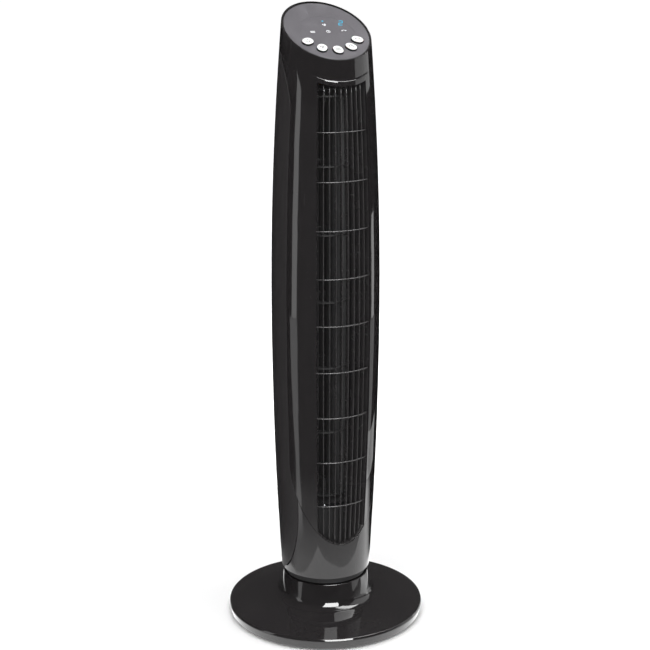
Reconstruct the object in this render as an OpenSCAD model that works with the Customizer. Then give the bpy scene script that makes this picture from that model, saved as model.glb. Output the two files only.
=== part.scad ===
// Tower fan: a slanted control head on a barrel-shaped tower that turns on a round weighted base.
// Millimetres, +Z up, the front faces -Y, origin under the middle of the base on the floor.

/* [Tower] */
// Height of the middle of the slanted control panel above the floor
panel_z = 880; // [800:5:1060]
// Slope of the control panel, falling towards the front, in degrees
panel_slope = 29.5; // [20:0.5:34]
// Widest diameter of the tower
tower_d = 158; // [156:1:176]
// Diameter of the tower at its lower edge
tower_foot_d = 133; // [133:1:160]
// Diameter of the tower at the middle of the panel
tower_head_d = 126; // [124:1:134]
// Height of the widest point above the floor
waist_z = 480; // [420:5:540]
// Wall thickness of the tower's shells
wall = 2.4; // [2:0.1:3]

/* [Front grille] */
// Half angle of the outlet window seen from the tower's axis
window_angle = 32; // [26:0.5:34]
// Number of vertical fins in the outlet window
fin_count = 8; // [6:1:12]
// Thickness of a fin
fin_t = 1.4; // [1:0.1:2]
// Depth of a fin along the radius
fin_depth = 9.5; // [7:0.5:9.5]
// Number of thin horizontal hoops across the fins
hoop_count = 9; // [6:1:12]
// Height of the band between the panel's rim and the outlet window
band_h = 34; // [26:1:44]

/* [Rear intake] */
// Distance from one intake slot to the next
slot_pitch = 9.5; // [8:0.5:14]
// Height of one intake slot
slot_h = 5; // [4:0.5:6]
// Half width of the slotted area
vent_half = 70; // [56:1:70]

/* [Base] */
// Diameter of the base at its widest
base_d = 296; // [270:1:356]
// Diameter of the upright hub of the base
hub_d = 127; // [124:1:131]
// Height of the hub's top above the floor
hub_z = 65.5; // [62:0.5:72]
// Radius of the concave flare between dish and hub
flare_r = 16; // [10:1:20]
// Slope of the hub's side, in degrees from upright
hub_draft = 12; // [0:1:14]
// How far the rubber feet hold the base off the floor
foot_gap = 3; // [2:0.5:4]

/* [Blower] */
// Diameter of the cross-flow blower wheel
blower_d = 76; // [64:1:92]
// Number of blades around the wheel
blade_count = 26; // [18:1:32]
// Number of stacked wheel sections
stage_count = 6; // [4:1:8]

/* [Oscillation drive] */
// Tooth module of the drive
gear_module = 1.25; // [1.25:0.05:1.3]
// Teeth on the driving pinion
pinion_teeth = 15; // [15:1:16]
// Teeth on the fixed gear
gear_teeth = 45; // [42:1:45]

/* [Buttons] */
// Length of a button along the radius of its arc
button_l = 17; // [16:0.5:21]
// Width of a button
button_w = 14; // [12:0.5:15]
// How far a button stands above the panel
button_rise = 2; // [1.6:0.1:3]
// Travel of a button
button_travel = 1; // [0.6:0.1:1.2]

/* [Fits] */
// Radial clearance of a shaft in its bearing
running_clearance = 0.05; // [0.02:0.01:0.09]
// Gap between neighbouring parts that don't move against each other
seam = 0.3; // [0.2:0.05:0.4]
// Gap between a button and its opening
button_gap = 0.7; // [0.35:0.05:0.7]

/* [Hidden] */
$fn = 96;
BUTTONS = ["power_button", "speed_button", "mode_button", "timer_button", "oscillate_button"];

gloss_black = [0.03, 0.03, 0.03];
satin_black = [0.06, 0.06, 0.06];
dark_grey = [0.2, 0.2, 0.2];
panel_grey = [0.4, 0.4, 0.41];
steel = [0.65, 0.66, 0.68];
copper = [0.7, 0.4, 0.2];
far = 400;                                     // longer than any cut needs to be
join = 0.5;                                    // overlap that welds two features of one part

// Base
base_r = base_d / 2;
hub_r = hub_d / 2;
base_t = 3;                                    // wall of the base dish
rim_z = foot_gap + 12;                         // widest line of the rim
rim_top_z = rim_z + 3.5;                       // where the rim's rounding meets the dish
rim_in = 3.5;                                  // how far the rim tucks in at its lower edge
dish_rise = 10;                                // rise of the dish from its rim to the flare
dish_foot_z = rim_top_z + dish_rise;
flare_z = dish_foot_z + flare_r;               // height of the flare's centre
dish_foot_r = hub_r + (flare_r + (hub_z - flare_z) * sin(hub_draft)) / cos(hub_draft);
deck_z = hub_z - base_t;                       // underside of the hub's top
cover_t = 2.5;
cover_r = base_r - 8;
foot_r = 9;
foot_ring_r = base_r - 22;
base_screw_r = base_r - 38;
gland_z = foot_gap + 6.5;
gland_r = 5;
gland_flange_r = rim_top_z - base_t - gland_z - 0.2;
cord_hole_r = 3.4;
weight_r = [base_r * 0.48, base_r * 0.80];
weight_t = 6;

// Pivot: a hollow post fixed in the base, which the turntable's sleeve turns on
post_r = 20;
post_bore_r = 14;
sleeve_r = post_r + running_clearance;
sleeve_wall = 5;
collar_z = hub_z + 1.5;                        // underside of the turntable
tower_z = collar_z + 9.4;                      // lower edge of the tower's shells
floor_t = 3;
pan_floor_z = collar_z + floor_t;
pan_r = 60.5;
pan_in_r = pan_r - 3;
sleeve_top_z = collar_z + 17;
spigot_r = 17;
gear_z = sleeve_top_z + seam;
gear_t = 6;
clip_t = 1;
clip_z = gear_z + gear_t + 0.2;
clip_groove_r = spigot_r - 1;

// Gear pair
pressure_angle = 20;
gear_backlash = 0.16;
gear_r = gear_module * gear_teeth / 2;
pinion_r = gear_module * pinion_teeth / 2;
pinion_y = gear_r + pinion_r + 0.1;
pinion_shaft_r = 3;
pinion_z = gear_z + 0.3;
pinion_t = gear_t - 0.6;

// Oscillation motor, above the pinion
osc_bracket_z = clip_z + clip_t + 3;
osc_bracket_t = 2;
osc_ear_t = 1.5;
osc_motor_r = 24;
osc_motor_h = 20;
osc_motor_z = osc_bracket_z + osc_bracket_t;
osc_post_r = 3.5;
osc_posts = [[-27, 28], [27, 28], [0, 53]];
osc_screw_x = 19;

// Blower and its motor
blower_y = 6;
blower_r = blower_d / 2;
shaft_r = 4;
bracket_z = osc_motor_z + osc_ear_t + osc_motor_h + 4;
bracket_t = 2.5;
lower_posts = [[-44, -26], [44, -26], [-42, 30], [42, 30]];
upper_post_at = 37;
post_rod_r = 4;
mount_at = 24;
mount_r = 5;
mount_h = 4;
motor_z = bracket_z + bracket_t + mount_h;
motor_r = 40;
cap_h = 7;
cap_wall = 2;
stator_z = motor_z + cap_h;
stator_h = 24;
stator_bore_r = 20.6;
rotor_r = 20;
motor_top_z = stator_z + stator_h + cap_h;
duct_z = motor_top_z + 20;                     // underside of the duct's bottom plate
duct_t = 2.5;
duct_front_y = 39;                             // the duct plates stop this far in front of the axis
wheel_z = duct_z + duct_t + 6;
duct_top_z = panel_z - 80;                     // underside of the duct's top plate
bush_h = 7;
bush_r = 9;
wheel_top_z = duct_top_z - 9;
hub_bore_h = 16;
stub_l = 8;                                     // stub shaft inside the wheel's top hub
disc_t = 2;
blade_t = 1.3;
blade_in_r = blower_r - 9;

// Tower profile: two parabolas that meet at the widest point
profile_steps = 20;
tower_top_z = panel_z + tower_head_d;          // above the slanted cut everywhere
function body_r(z) = let (end_z = z > waist_z ? panel_z : tower_z,
                          end_d = z > waist_z ? tower_head_d : tower_foot_d)
    tower_d / 2 - (tower_d - end_d) / 2 * pow((z - waist_z) / (end_z - waist_z), 2);
function profile_z(i) = tower_z + (tower_top_z - 60 - tower_z) * i / profile_steps;
function ease(t) = let (c = min(max(t, 0), 1)) c * c * (3 - 2 * c);

// Seam between the front cover and the rear shell, as a half width at each height
seam_inset = 6.3;
head_seam_z = panel_z - band_h;                // the head's lower edge at the tower's side
flare_h = 78;
function seam_half(z) = body_r(z) - seam_inset * (1 - ease((z - head_seam_z + flare_h) / flare_h));
u_h = 132;                                     // height of the front cover's rounded lower end
u_z = tower_z + 187;                           // where the rounded end begins
chin_mid_z = tower_z + 89;
chin_half_min = body_r(chin_mid_z) - 11.4;
chin_curve_r = 500;
function chin_half(z) = chin_half_min + pow(z - chin_mid_z, 2) / (2 * chin_curve_r);
chin_top_z = u_z - 56;

// Ribs inside the rear shell and the screws through it
rib_depth = 2.5;
rib_t = 2.4;
rib_x = [-48, -24, 0, 24, 48];
shell_screw_at = 26;                           // degrees either side of the back
shell_screw_z = [bracket_z + bracket_t + 3, duct_top_z + duct_t + 3];
shell_head_r = 3;
shell_sink = 1.1;                              // depth of the recess for a screw's head

// Outlet window and intake area
function window_half(z) = body_r(z) * sin(window_angle);
function lower_end_z(x) = u_z - u_h * sqrt(max(0, 1 - pow(x / seam_half(u_z), 2)));
function slant_z(y) = panel_z - band_h + y * tan(panel_slope);
hoop_low_z = u_z - 70;
hoop_pitch = (head_seam_z - 101 - hoop_low_z) / (hoop_count - 1);
grille_set_back = wall + seam;                 // the grille sits behind the shells
fin_set_back = grille_set_back + 0.5;          // the fins sit behind the hoops
frame_t = 2;
backing_t = 1.2;
hoop_w = 2.6;
hoop_t = 1.6;
vent_low_z = tower_z + 274;
vent_high_z = head_seam_z - 206;
vent_low_h = 195;
vent_high_h = 160;
function vent_half_at(z) =
    let (u = z < vent_low_z ? (vent_low_z - z) / vent_low_h
           : z > vent_high_z ? (z - vent_high_z) / vent_high_h : 0)
    vent_half * sqrt(max(0, 1 - u * u));

// Control panel, in its own slanted frame
overlay_t = 0.4;
panel_t = 2.6;
panel_drop = 0.8;                              // overlay below the rim
film_inset = 0.9;                              // dark border of the panel round the overlay
plate_top = -panel_drop - overlay_t;
board_gap = 9;
board_top = plate_top - panel_t - board_gap;
board_t = 1.6;
board_r = 52;
button_arc_r = 42;
button_arc_y = -9.7;
button_step = 31;
button_flange = 1.2;
flange_t = 1;
button_angles = [-62, -31, 0, 31, 62];
digit_at = [28, 14];
digit_window = [13, 20];
groove_r = 41;

function arc(cx, cy, r, a0, a1, n) =
    [for (i = [0 : n]) let (a = a0 + (a1 - a0) * i / n) [cx + r * cos(a), cy + r * sin(a)]];

// ---------- shared shapes ----------

module ring(r_out, r_in, z, h) {
    translate([0, 0, z]) difference() {
        cylinder(r = r_out, h = h);
        translate([0, 0, -1]) cylinder(r = r_in, h = h + 2);
    }
}

module rod(x, y, z, r, h) { translate([x, y, z]) cylinder(r = r, h = h); }

// The tower's outer solid, shrunk by inset, between two heights
module barrel(inset, z0 = tower_z, z1 = tower_top_z - 60) {
    n = profile_steps;
    zs = [for (i = [0 : n]) z0 + (z1 - z0) * i / n];
    rotate_extrude()
        polygon(concat([[0, z0]], [for (z = zs) [body_r(z) - inset, z]], [[0, z1]]));
}

// A hollow barrel between two insets
module skin(outer, inner, z0 = tower_z, z1 = tower_top_z - 60) {
    n = profile_steps;
    zs = [for (i = [0 : n]) z0 + (z1 - z0) * i / n];
    rotate_extrude()
        polygon(concat([for (z = zs) [body_r(z) - outer, z]],
                       [for (i = [n : -1 : 0]) [body_r(zs[i]) - inner, zs[i]]]));
}

// Everything above a plane parallel to the panel, offset down by drop
module above_slant(drop) {
    on_panel() translate([-far / 2, -far / 2, -drop * cos(panel_slope)]) cube([far, far, far / 2]);
}

module on_panel() { translate([0, 0, panel_z]) rotate([panel_slope, 0, 0]) children(); }

// A front view outline, carried through the front half of the tower
module front_prism() { rotate([90, 0, 0]) linear_extrude(height = far / 2) children(); }

function mirrored(right) =
    concat(right, [for (i = [len(right) - 1 : -1 : 0]) [-right[i][0], right[i][1]]]);

// Front cover outline: a rounded lower end, then the seam up both sides
module cover_outline(grow = 0) {
    top = head_seam_z;
    low = arc(0, 0, 1, -90, 0, 14);
    u_r = seam_half(u_z);
    side_z = [for (i = [1 : 16]) u_z + (top - u_z) * i / 16];
    polygon(mirrored(concat(
        [for (p = low) if (p[0] > 0.001) [(u_r + grow) * p[0], u_z + (u_h + grow) * p[1]]],
        [for (z = side_z) [seam_half(z) + grow, z]],
        [[seam_half(top) + grow + 2, top + 60]])));
}

// Chin outline: waisted sides below the front cover
module chin_outline(grow = 0) {
    zs = [for (i = [0 : 12]) tower_z - 5 + (chin_top_z + 5 - tower_z) * i / 12];
    polygon(mirrored([for (z = zs) [chin_half(z) + grow, z]]));
}

// Outlet window outline; its top is cut by the slanted band
module window_outline(grow = 0) {
    u_r = seam_half(u_z);
    top = panel_z;
    zs = [for (i = [0 : 18]) u_z - 110 + (top - u_z + 110) * i / 18];
    intersection() {
        polygon(mirrored([for (z = concat([u_z - u_h - 5], zs)) [window_half(z) + grow, z]]));
        union() {
            low = arc(0, 0, 1, -90, 0, 14);
            polygon(mirrored(concat(
                [for (p = low) if (p[0] > 0.001)
                    [(u_r + grow) * p[0], u_z + (u_h + grow) * p[1]]],
                [[u_r + grow, top]])));
        }
    }
}

// A pan-head screw pointing down its own +Z, its head at z = 0 and above
module screw(r, l, head_r, head_h) {
    translate([0, 0, -l]) cylinder(r = r, h = l + 0.1);
    difference() {
        cylinder(r = head_r, h = head_h);
        for (a = [0, 90]) rotate([0, 0, a])
            translate([-head_r * 0.6, -0.4, head_h * 0.5]) cube([head_r * 1.2, 0.8, head_h]);
    }
}

// ---------- base ----------

// Half section of the dish's outside, grown inwards for its underside
module dish_section(t = 0) {
    hub_out = hub_r - t;
    middle_r = dish_foot_r - t + t / cos(hub_draft);
    polygon(concat(
        [[0, -1], [base_r - rim_in - t, -1], [base_r - rim_in - t, foot_gap + 1],
         [base_r - t, rim_z], [base_r - t * 0.9 - 1, rim_z + 2.4 - t * 0.6],
         [base_r - 3 - t, rim_top_z - t]],
        arc(middle_r, flare_z, flare_r + t, 270, 180 + hub_draft, 16),
        [[hub_out + (1 + t) * tan(hub_draft), hub_z - 1 - t], [hub_out - 1, hub_z - t],
         [0, hub_z - t]]));
}

module base_dish() {
    color(gloss_black) difference() {
        rotate_extrude() difference() {
            dish_section();
            dish_section(base_t);
            translate([-1, -2]) square([base_r + 2, foot_gap + 2]);
            translate([-1, deck_z - 1]) square([post_r + seam + 1, base_t + 2]);
        }
        translate([0, base_r - 12, gland_z]) rotate([-90, 0, 0])
            cylinder(r = gland_r + 0.1, h = 30);
        for (i = [0 : 2]) rotate([0, 0, 120 * i + 30]) rod(0, 32, deck_z - 1, 1.7, base_t + 2);
    }
    color(gloss_black) for (i = [0 : 5]) rotate([0, 0, 60 * i]) screw_boss();
}

// Boss under the dish that takes one bottom cover screw
module screw_boss() {
    boss_top = rim_top_z + dish_rise * (base_r - 3 - base_screw_r) / (base_r - 3 - dish_foot_r) - 1.5;
    boss_low = foot_gap + cover_t + seam;
    difference() {
        rod(0, -base_screw_r, boss_low, 4.5, boss_top - boss_low);
        rod(0, -base_screw_r, boss_low - 1, 1.5, 10);
    }
}

module base_cover() {
    color(satin_black) difference() {
        rod(0, 0, foot_gap, cover_r, cover_t);
        for (i = [0 : 5]) rotate([0, 0, 60 * i]) {
            rod(0, -base_screw_r, foot_gap - 1, 1.8, cover_t + 2);
            rod(0, -base_screw_r, foot_gap - 1, 3.8, 1 + 1.2);
            rotate([0, 0, 30]) rod(0, -foot_ring_r, foot_gap - 1, foot_r + 0.1, 1 + 1.2);
        }
        translate([-gland_r - 3, base_r - 13, foot_gap - 1]) cube([2 * gland_r + 6, 20, 10]);
    }
}

module base_weight() {
    color(steel) difference() {
        ring(weight_r[1], weight_r[0], foot_gap + cover_t + seam, weight_t);
        for (i = [0 : 5]) rotate([0, 0, 60 * i]) rod(0, -base_screw_r, 0, 5.2, 40);
    }
}

module rubber_feet() {
    color(dark_grey) for (i = [0 : 5]) rotate([0, 0, 60 * i + 30])
        rotate_extrude_at(0, -foot_ring_r)
            polygon([[0, 0], [foot_r - 1.2, 0], [foot_r, 1.2], [foot_r, foot_gap + 1.1],
                     [0, foot_gap + 1.1]]);
}

module rotate_extrude_at(x, y) { translate([x, y, 0]) rotate_extrude() children(); }

module base_screws() {
    color(steel) for (i = [0 : 5]) rotate([0, 0, 60 * i])
        translate([0, -base_screw_r, foot_gap + 1.1]) rotate([180, 0, 0])
            screw(1.45, 9, 3.4, 0.9);
}

// Bushing that the cord would come in through
module cord_gland() {
    y0 = base_r - 10;
    color(dark_grey) translate([0, y0, gland_z]) rotate([-90, 0, 0]) difference() {
        union() {
            cylinder(r = gland_r, h = 9.6);
            cylinder(r = gland_flange_r, h = 3);
        }
        translate([0, 0, -1]) cylinder(r = cord_hole_r, h = 20);
    }
}

// ---------- pivot and oscillation drive ----------

module pivot_post() {
    flange_z = deck_z - 3.2;
    color(satin_black) difference() {
        rotate_extrude()
            polygon([[post_bore_r, flange_z - 6], [post_r, flange_z - 6], [post_r, flange_z],
                     [40, flange_z], [40, flange_z + 3], [post_r, flange_z + 3],
                     [post_r, gear_z], [spigot_r, gear_z], [spigot_r, clip_z],
                     [clip_groove_r, clip_z], [clip_groove_r, clip_z + clip_t],
                     [spigot_r, clip_z + clip_t], [spigot_r, clip_z + clip_t + 1],
                     [post_bore_r, clip_z + clip_t + 1]]);
        for (i = [0 : 2]) rotate([0, 0, 120 * i + 30]) rod(0, 32, flange_z - 1, 1.7, 8);
    }
}

module pivot_screws() {
    color(steel) for (i = [0 : 2]) rotate([0, 0, 120 * i + 30])
        translate([0, 32, deck_z - 3.2 - 0.1]) rotate([180, 0, 0]) screw(1.6, 5.6, 3.2, 2);
}

// Low-friction ring that the turntable slides on
module glide_ring() {
    color("white") ring(hub_r - 9.5, hub_r - 17.5, hub_z, collar_z - hub_z - seam);
}

function involute(rb, t) =
    [rb * (cos(t) + t * PI / 180 * sin(t)), rb * (sin(t) - t * PI / 180 * cos(t))];
function turn(p, a) = [p[0] * cos(a) - p[1] * sin(a), p[0] * sin(a) + p[1] * cos(a)];

// Spur gear with one tooth centred on +X
module gear_outline(teeth, pitch_r) {
    rb = pitch_r * cos(pressure_angle);
    outer = pitch_r + gear_module;
    root = pitch_r - 1.25 * gear_module;
    roll = sqrt(pow(outer / rb, 2) - 1) * 180 / PI;
    at_pitch = tan(pressure_angle) * 180 / PI - pressure_angle;
    half_tooth = 90 / teeth - gear_backlash / pitch_r * 90 / PI;
    start = root > rb ? sqrt(pow(root / rb, 2) - 1) * 180 / PI : 0;
    flank = concat(root < rb ? [[root, 0]] : [],
                   [for (i = [0 : 4]) involute(rb, start + (roll - start) * i / 4)]);
    polygon([for (k = [0 : teeth - 1]) each concat(
        [for (p = flank) turn(p, 360 * k / teeth - half_tooth - at_pitch)],
        [for (i = [len(flank) - 1 : -1 : 0])
            turn([flank[i][0], -flank[i][1]], 360 * k / teeth + half_tooth + at_pitch)])]);
}

module fixed_gear() {
    color("white") translate([0, 0, gear_z]) difference() {
        rotate([0, 0, 90]) linear_extrude(height = gear_t) gear_outline(gear_teeth, gear_r);
        translate([0, 0, -1]) cylinder(r = spigot_r + 0.02, h = gear_t + 2);
    }
}

module retaining_clip() {
    color(steel) difference() {
        ring(spigot_r + 3, clip_groove_r + 0.02, clip_z + 0.05, clip_t - 0.1);
        translate([-3, -40, clip_z - 1]) cube([6, 40, 4]);
    }
}

module osc_pinion() {
    color("white") translate([0, pinion_y, pinion_z]) difference() {
        rotate([0, 0, -90 + 180 / pinion_teeth]) linear_extrude(height = pinion_t)
            gear_outline(pinion_teeth, pinion_r);
        translate([0, 0, -1]) cylinder(r = pinion_shaft_r, h = pinion_t + 2);
    }
}

module osc_shaft() {
    color(steel) rod(0, pinion_y, pinion_z, pinion_shaft_r, osc_motor_z + 12 - pinion_z);
}

// Slow synchronous motor that turns the pinion
module osc_motor() {
    color(steel) difference() {
        translate([0, pinion_y, osc_motor_z]) union() {
            cylinder(r = osc_motor_r, h = osc_ear_t + osc_motor_h);
            linear_extrude(height = osc_ear_t) difference() {
                union() {
                    for (s = [-1, 1]) translate([s * (osc_motor_r + 3), 0]) circle(r = 5);
                    translate([-osc_motor_r - 3, -5]) square([2 * osc_motor_r + 6, 10]);
                }
                for (s = [-1, 1]) translate([s * (osc_motor_r + 3), 0]) circle(r = 1.7);
            }
        }
        rod(0, pinion_y, osc_motor_z - 1, pinion_shaft_r + running_clearance, 14);
    }
}

module osc_bracket() {
    color(satin_black) difference() {
        union() {
            translate([0, 0, osc_bracket_z]) linear_extrude(height = osc_bracket_t) {
                translate([0, pinion_y]) circle(r = osc_motor_r - 4);
                translate([-osc_motor_r - 8, pinion_y - 5]) square([2 * osc_motor_r + 16, 10]);
                for (p = osc_posts) translate(p) circle(r = osc_post_r + 1.5);
                translate([-27, 23.5]) square([54, 9]);
            }
            for (p = osc_posts)
                rod(p[0], p[1], pan_floor_z, osc_post_r, osc_bracket_z - pan_floor_z + join);
        }
        rod(0, pinion_y, osc_bracket_z - 1, pinion_shaft_r + 2, osc_bracket_t + 2);
        for (s = [-1, 1])
            rod(s * (osc_motor_r + 3), pinion_y, osc_bracket_z - 1, 1.5, osc_bracket_t + 2);
        ring_cut();
    }
}

// Keeps the oscillation bracket clear of the pivot's top
module ring_cut() { rod(0, 0, osc_bracket_z - 1, spigot_r + 2, osc_bracket_t + 2); }

module osc_screws() {
    color(steel) for (s = [-1, 1])
        translate([s * (osc_motor_r + 3), pinion_y, osc_motor_z + osc_ear_t + 0.1])
            screw(1.4, 3.4, 2.6, 1.6);
}

// ---------- tower structure ----------

module turntable() {
    flange_r = body_r(tower_z) - wall - seam;
    color(satin_black) difference() {
        union() {
            rotate_extrude()
                polygon([[sleeve_r, collar_z], [pan_r, collar_z], [pan_r, tower_z],
                         [flange_r, tower_z], [flange_r, tower_z + floor_t],
                         [pan_in_r, tower_z + floor_t], [pan_in_r, pan_floor_z],
                         [sleeve_r + sleeve_wall, pan_floor_z],
                         [sleeve_r + sleeve_wall, sleeve_top_z], [sleeve_r, sleeve_top_z]]);
            for (p = board_posts) rod(p[0], p[1], pan_floor_z - join, 3, 4 + join);
        }
    }
}

board_posts = [[-10, -45], [20, -45], [-10, -31], [20, -31]];

module power_board() {
    z = pan_floor_z + 4;
    color("darkgreen") translate([-14, -49, z]) cube([38, 22, 1.6]);
    color("gold") translate([-6, -46, z + 1.6 - 0.1]) cube([20, 15, 16]);
    color("royalblue") translate([15, -44, z + 1.6 - 0.1]) cube([7, 12, 10]);
}

module motor_capacitor() {
    color("dimgray") translate([-25, -36, pan_floor_z]) {
        cylinder(r = 9, h = 28);
        translate([0, 0, 27.9]) ring(4, 1.5, 0, 3);
    }
}

// Round plate that clears the shells and the ribs inside them
module plate(z, t, flat_front = false) {
    translate([0, 0, z]) difference() {
        cylinder(r = min(body_r(z), body_r(z + t)) - wall - rib_depth - 2 * seam, h = t);
        loom_path(-5, far);
        if (flat_front) translate([-far / 2, -far - duct_front_y, -1]) cube([far, far, t + 2]);
    }
}

loom_at = [-50, 34];
loom_z = tower_z + floor_t + 3;
module loom_path(z, h, r = 3) { rod(loom_at[0], loom_at[1], z, r, h); }

module wiring_loom() {
    color("dimgray") loom_path(loom_z, duct_top_z + 30 - loom_z, 2);
}

module motor_bracket() {
    color(dark_grey) difference() {
        union() {
            plate(bracket_z, bracket_t);
            for (p = lower_posts)
                rod(p[0], p[1], pan_floor_z, post_rod_r, bracket_z - pan_floor_z + join);
            for (sx = [-1, 1], sy = [-1, 1])
                rod(sx * upper_post_at, blower_y + sy * upper_post_at, bracket_z + join,
                    post_rod_r, duct_z - bracket_z - join);
        }
        rod(0, blower_y, bracket_z - 1, 12, bracket_t + 2);
        screw_bores(0);
    }
    color(dark_grey) difference() {
        rear_bosses(0);
        screw_bores(0);
    }
}

// Children on a radius of the tower, one each side of the back, at a level of rear shell screws
module at_shell_screws(level) {
    for (s = [-1, 1]) rotate([0, 0, s * shell_screw_at])
        translate([0, 0, shell_screw_z[level]]) rotate([-90, 0, 0]) children();
}

// Bosses on a plate that the rear shell screws go into
module rear_bosses(level) {
    end_r = body_r(shell_screw_z[level]) - wall - rib_depth - seam;
    at_shell_screws(level) translate([0, 0, 50]) cylinder(r = 3.5, h = end_r - 50);
}

module screw_bores(level) { at_shell_screws(level) translate([0, 0, 49]) cylinder(r = 1.3, h = 30); }

module motor_mounts() {
    color("black") for (sx = [-1, 1], sy = [-1, 1])
        translate([sx * mount_at, blower_y + sy * mount_at, 0])
            ring(mount_r, 1.6, bracket_z + bracket_t, mount_h);
}

module motor_cup(z, up) {
    // a shallow cup with a bearing hole in its floor
    translate([0, blower_y, z]) mirror([0, 0, up ? 1 : 0]) difference() {
        cylinder(r = motor_r, h = cap_h);
        translate([0, 0, cap_wall]) cylinder(r = motor_r - cap_wall, h = cap_h);
        translate([0, 0, -1]) cylinder(r = shaft_r + running_clearance, h = 10);
    }
}

module motor_cap_lower() { color(steel) motor_cup(motor_z, false); }
module motor_cap_upper() { color(steel) motor_cup(motor_top_z, true); }

module motor_stator() {
    color("slategray") translate([0, blower_y, 0])
        ring(motor_r, stator_bore_r, stator_z, stator_h);
}

module motor_windings() {
    color(copper) translate([0, blower_y, 0]) {
        ring(35, 23, stator_z - 4, 4);
        ring(35, 23, stator_z + stator_h, 4);
    }
}

module motor_rotor() {
    color("silver") translate([0, blower_y, 0])
        ring(rotor_r, shaft_r, stator_z + 1, stator_h - 2);
}

module blower_shaft() {
    color(steel)
        rod(0, blower_y, motor_z - 1.5, shaft_r, wheel_z + hub_bore_h - motor_z + 1.5);
}

module top_stub_shaft() {
    color(steel) rod(0, blower_y, wheel_top_z - stub_l, shaft_r, duct_top_z + 3 - wheel_top_z + stub_l);
}

// One curved blade of the wheel, seen from above
module blade() {
    mid_r = (blower_r + blade_in_r) / 2 - 0.6;
    bow_r = 8;
    translate([mid_r, bow_r * 0.8, 0]) difference() {
        intersection() {
            circle(r = bow_r, $fn = 48);
            translate([-bow_r * 0.62, -bow_r * 1.1]) square([bow_r * 1.16, bow_r]);
        }
        circle(r = bow_r - blade_t, $fn = 48);
    }
}

module blower_wheel() {
    stage_h = (wheel_top_z - wheel_z - disc_t) / stage_count;
    color(dark_grey) translate([0, blower_y, 0]) difference() {
        union() {
            for (i = [0 : stage_count])
                if (i == 0 || i == stage_count)
                    rod(0, 0, wheel_z + i * stage_h, blower_r, disc_t);
                else
                    ring(blower_r, blade_in_r - 2, wheel_z + i * stage_h, disc_t);
            for (k = [0 : blade_count - 1]) rotate([0, 0, 360 * k / blade_count])
                translate([0, 0, wheel_z + disc_t / 2])
                    linear_extrude(height = wheel_top_z - wheel_z - disc_t) blade();
            rod(0, 0, wheel_z, shaft_r + 5, hub_bore_h);
            rod(0, 0, wheel_top_z - stub_l - 4, shaft_r + 5, stub_l + 4);
        }
        rod(0, 0, wheel_z - 1, shaft_r, hub_bore_h + 1.02);
        rod(0, 0, wheel_top_z - stub_l - 0.02, shaft_r, 20);
    }
}

module duct_bottom_plate() {
    color(satin_black) difference() {
        plate(duct_z, duct_t, true);
        rod(0, blower_y, duct_z - 1, shaft_r + 6, duct_t + 2);
    }
}

module duct_top_plate() {
    color(satin_black) difference() {
        union() {
            plate(duct_top_z, duct_t, true);
            rear_bosses(1);
        }
        rod(0, blower_y, duct_top_z - 1, bush_r, duct_t + 2);
        screw_bores(1);
    }
}

module top_bush() {
    color("goldenrod") translate([0, blower_y, 0])
        ring(bush_r, shaft_r + running_clearance, duct_top_z - 2, bush_h);
}

// Curved guide from the outlet's right edge round the side of the wheel
module duct_scroll() {
    z = duct_z + duct_t + 0.1;
    guide_r = blower_r + 6;
    color(satin_black) translate([0, 0, z]) linear_extrude(height = duct_top_z - z - 0.1) {
        translate([0, blower_y]) intersection() {
            difference() {
                circle(r = guide_r + 2);
                circle(r = guide_r);
            }
            polygon([[0, 0], [80, -13], [80, 60], [34, 60]]);
        }
        polygon([[37, -35], [39, -35.3], [guide_r + 1.6, 1], [guide_r - 0.2, 1]]);
    }
}

// Cut-off wall that parts the outlet from the intake
module duct_tongue() {
    z = duct_z + duct_t + 0.1;
    edge = blower_r + 3;
    color(satin_black) translate([0, 0, z]) linear_extrude(height = duct_top_z - z - 0.1)
        polygon([[-39, -35.3], [-37, -35], [-edge + 1.2, -9], [-edge - 0.2, -6.5], [-edge - 1.6, -8]]);
}

// ---------- shells ----------

module rear_shell() {
    slot_n = floor((vent_high_z + vent_high_h - vent_low_z + vent_low_h) / slot_pitch) - 1;
    slot_z0 = vent_low_z - vent_low_h + slot_pitch;
    color(satin_black) difference() {
        skin(0, wall);
        front_prism() {
            cover_outline(seam / 2);
            chin_outline(seam / 2);
        }
        above_slant(band_h + seam / 2);
        for (i = [0 : slot_n - 1]) {
            z = slot_z0 + i * slot_pitch;
            half = vent_half_at(z);
            if (half > 12) translate([-half, 5, z - slot_h / 2]) cube([2 * half, far / 2, slot_h]);
        }
        for (level = [0, 1]) at_shell_screws(level) {
            translate([0, 0, 50]) cylinder(r = 1.6, h = 40);
            translate([0, 0, body_r(shell_screw_z[level]) - shell_sink])
                cylinder(r = shell_head_r + 0.3, h = 10);
        }
    }
    color(satin_black) intersection() {
        skin(wall - join, wall + rib_depth, slot_z0 - 6, vent_high_z + vent_high_h - slot_pitch);
        for (x = rib_x)
            translate([x - rib_t / 2, 10, 0]) cube([rib_t, far / 2, far * 3]);
    }
}

module shell_screws() {
    color(steel) for (level = [0, 1]) {
        seat = body_r(shell_screw_z[level]) - shell_sink + 0.1;
        at_shell_screws(level) translate([0, 0, seat]) screw(1.2, seat - 52, shell_head_r, 1.4);
    }
}

module front_cover() {
    color(gloss_black) difference() {
        union() {
            difference() {
                intersection() {
                    skin(0, wall);
                    union() {
                        front_prism() cover_outline(-seam / 2);
                        above_slant(band_h - seam / 2);
                    }
                }
                above_slant(0);
            }
            panel_ledge();
        }
        difference() {
            front_prism() window_outline();
            above_slant(band_h);
        }
    }
}

// Ledge inside the head that the panel sits on
module panel_ledge() {
    intersection() {
        skin(wall - join, wall + 3);
        on_panel() translate([-far / 2, -far / 2, plate_top - panel_t - 2.2])
            cube([far, far, 2]);
    }
}

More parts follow.
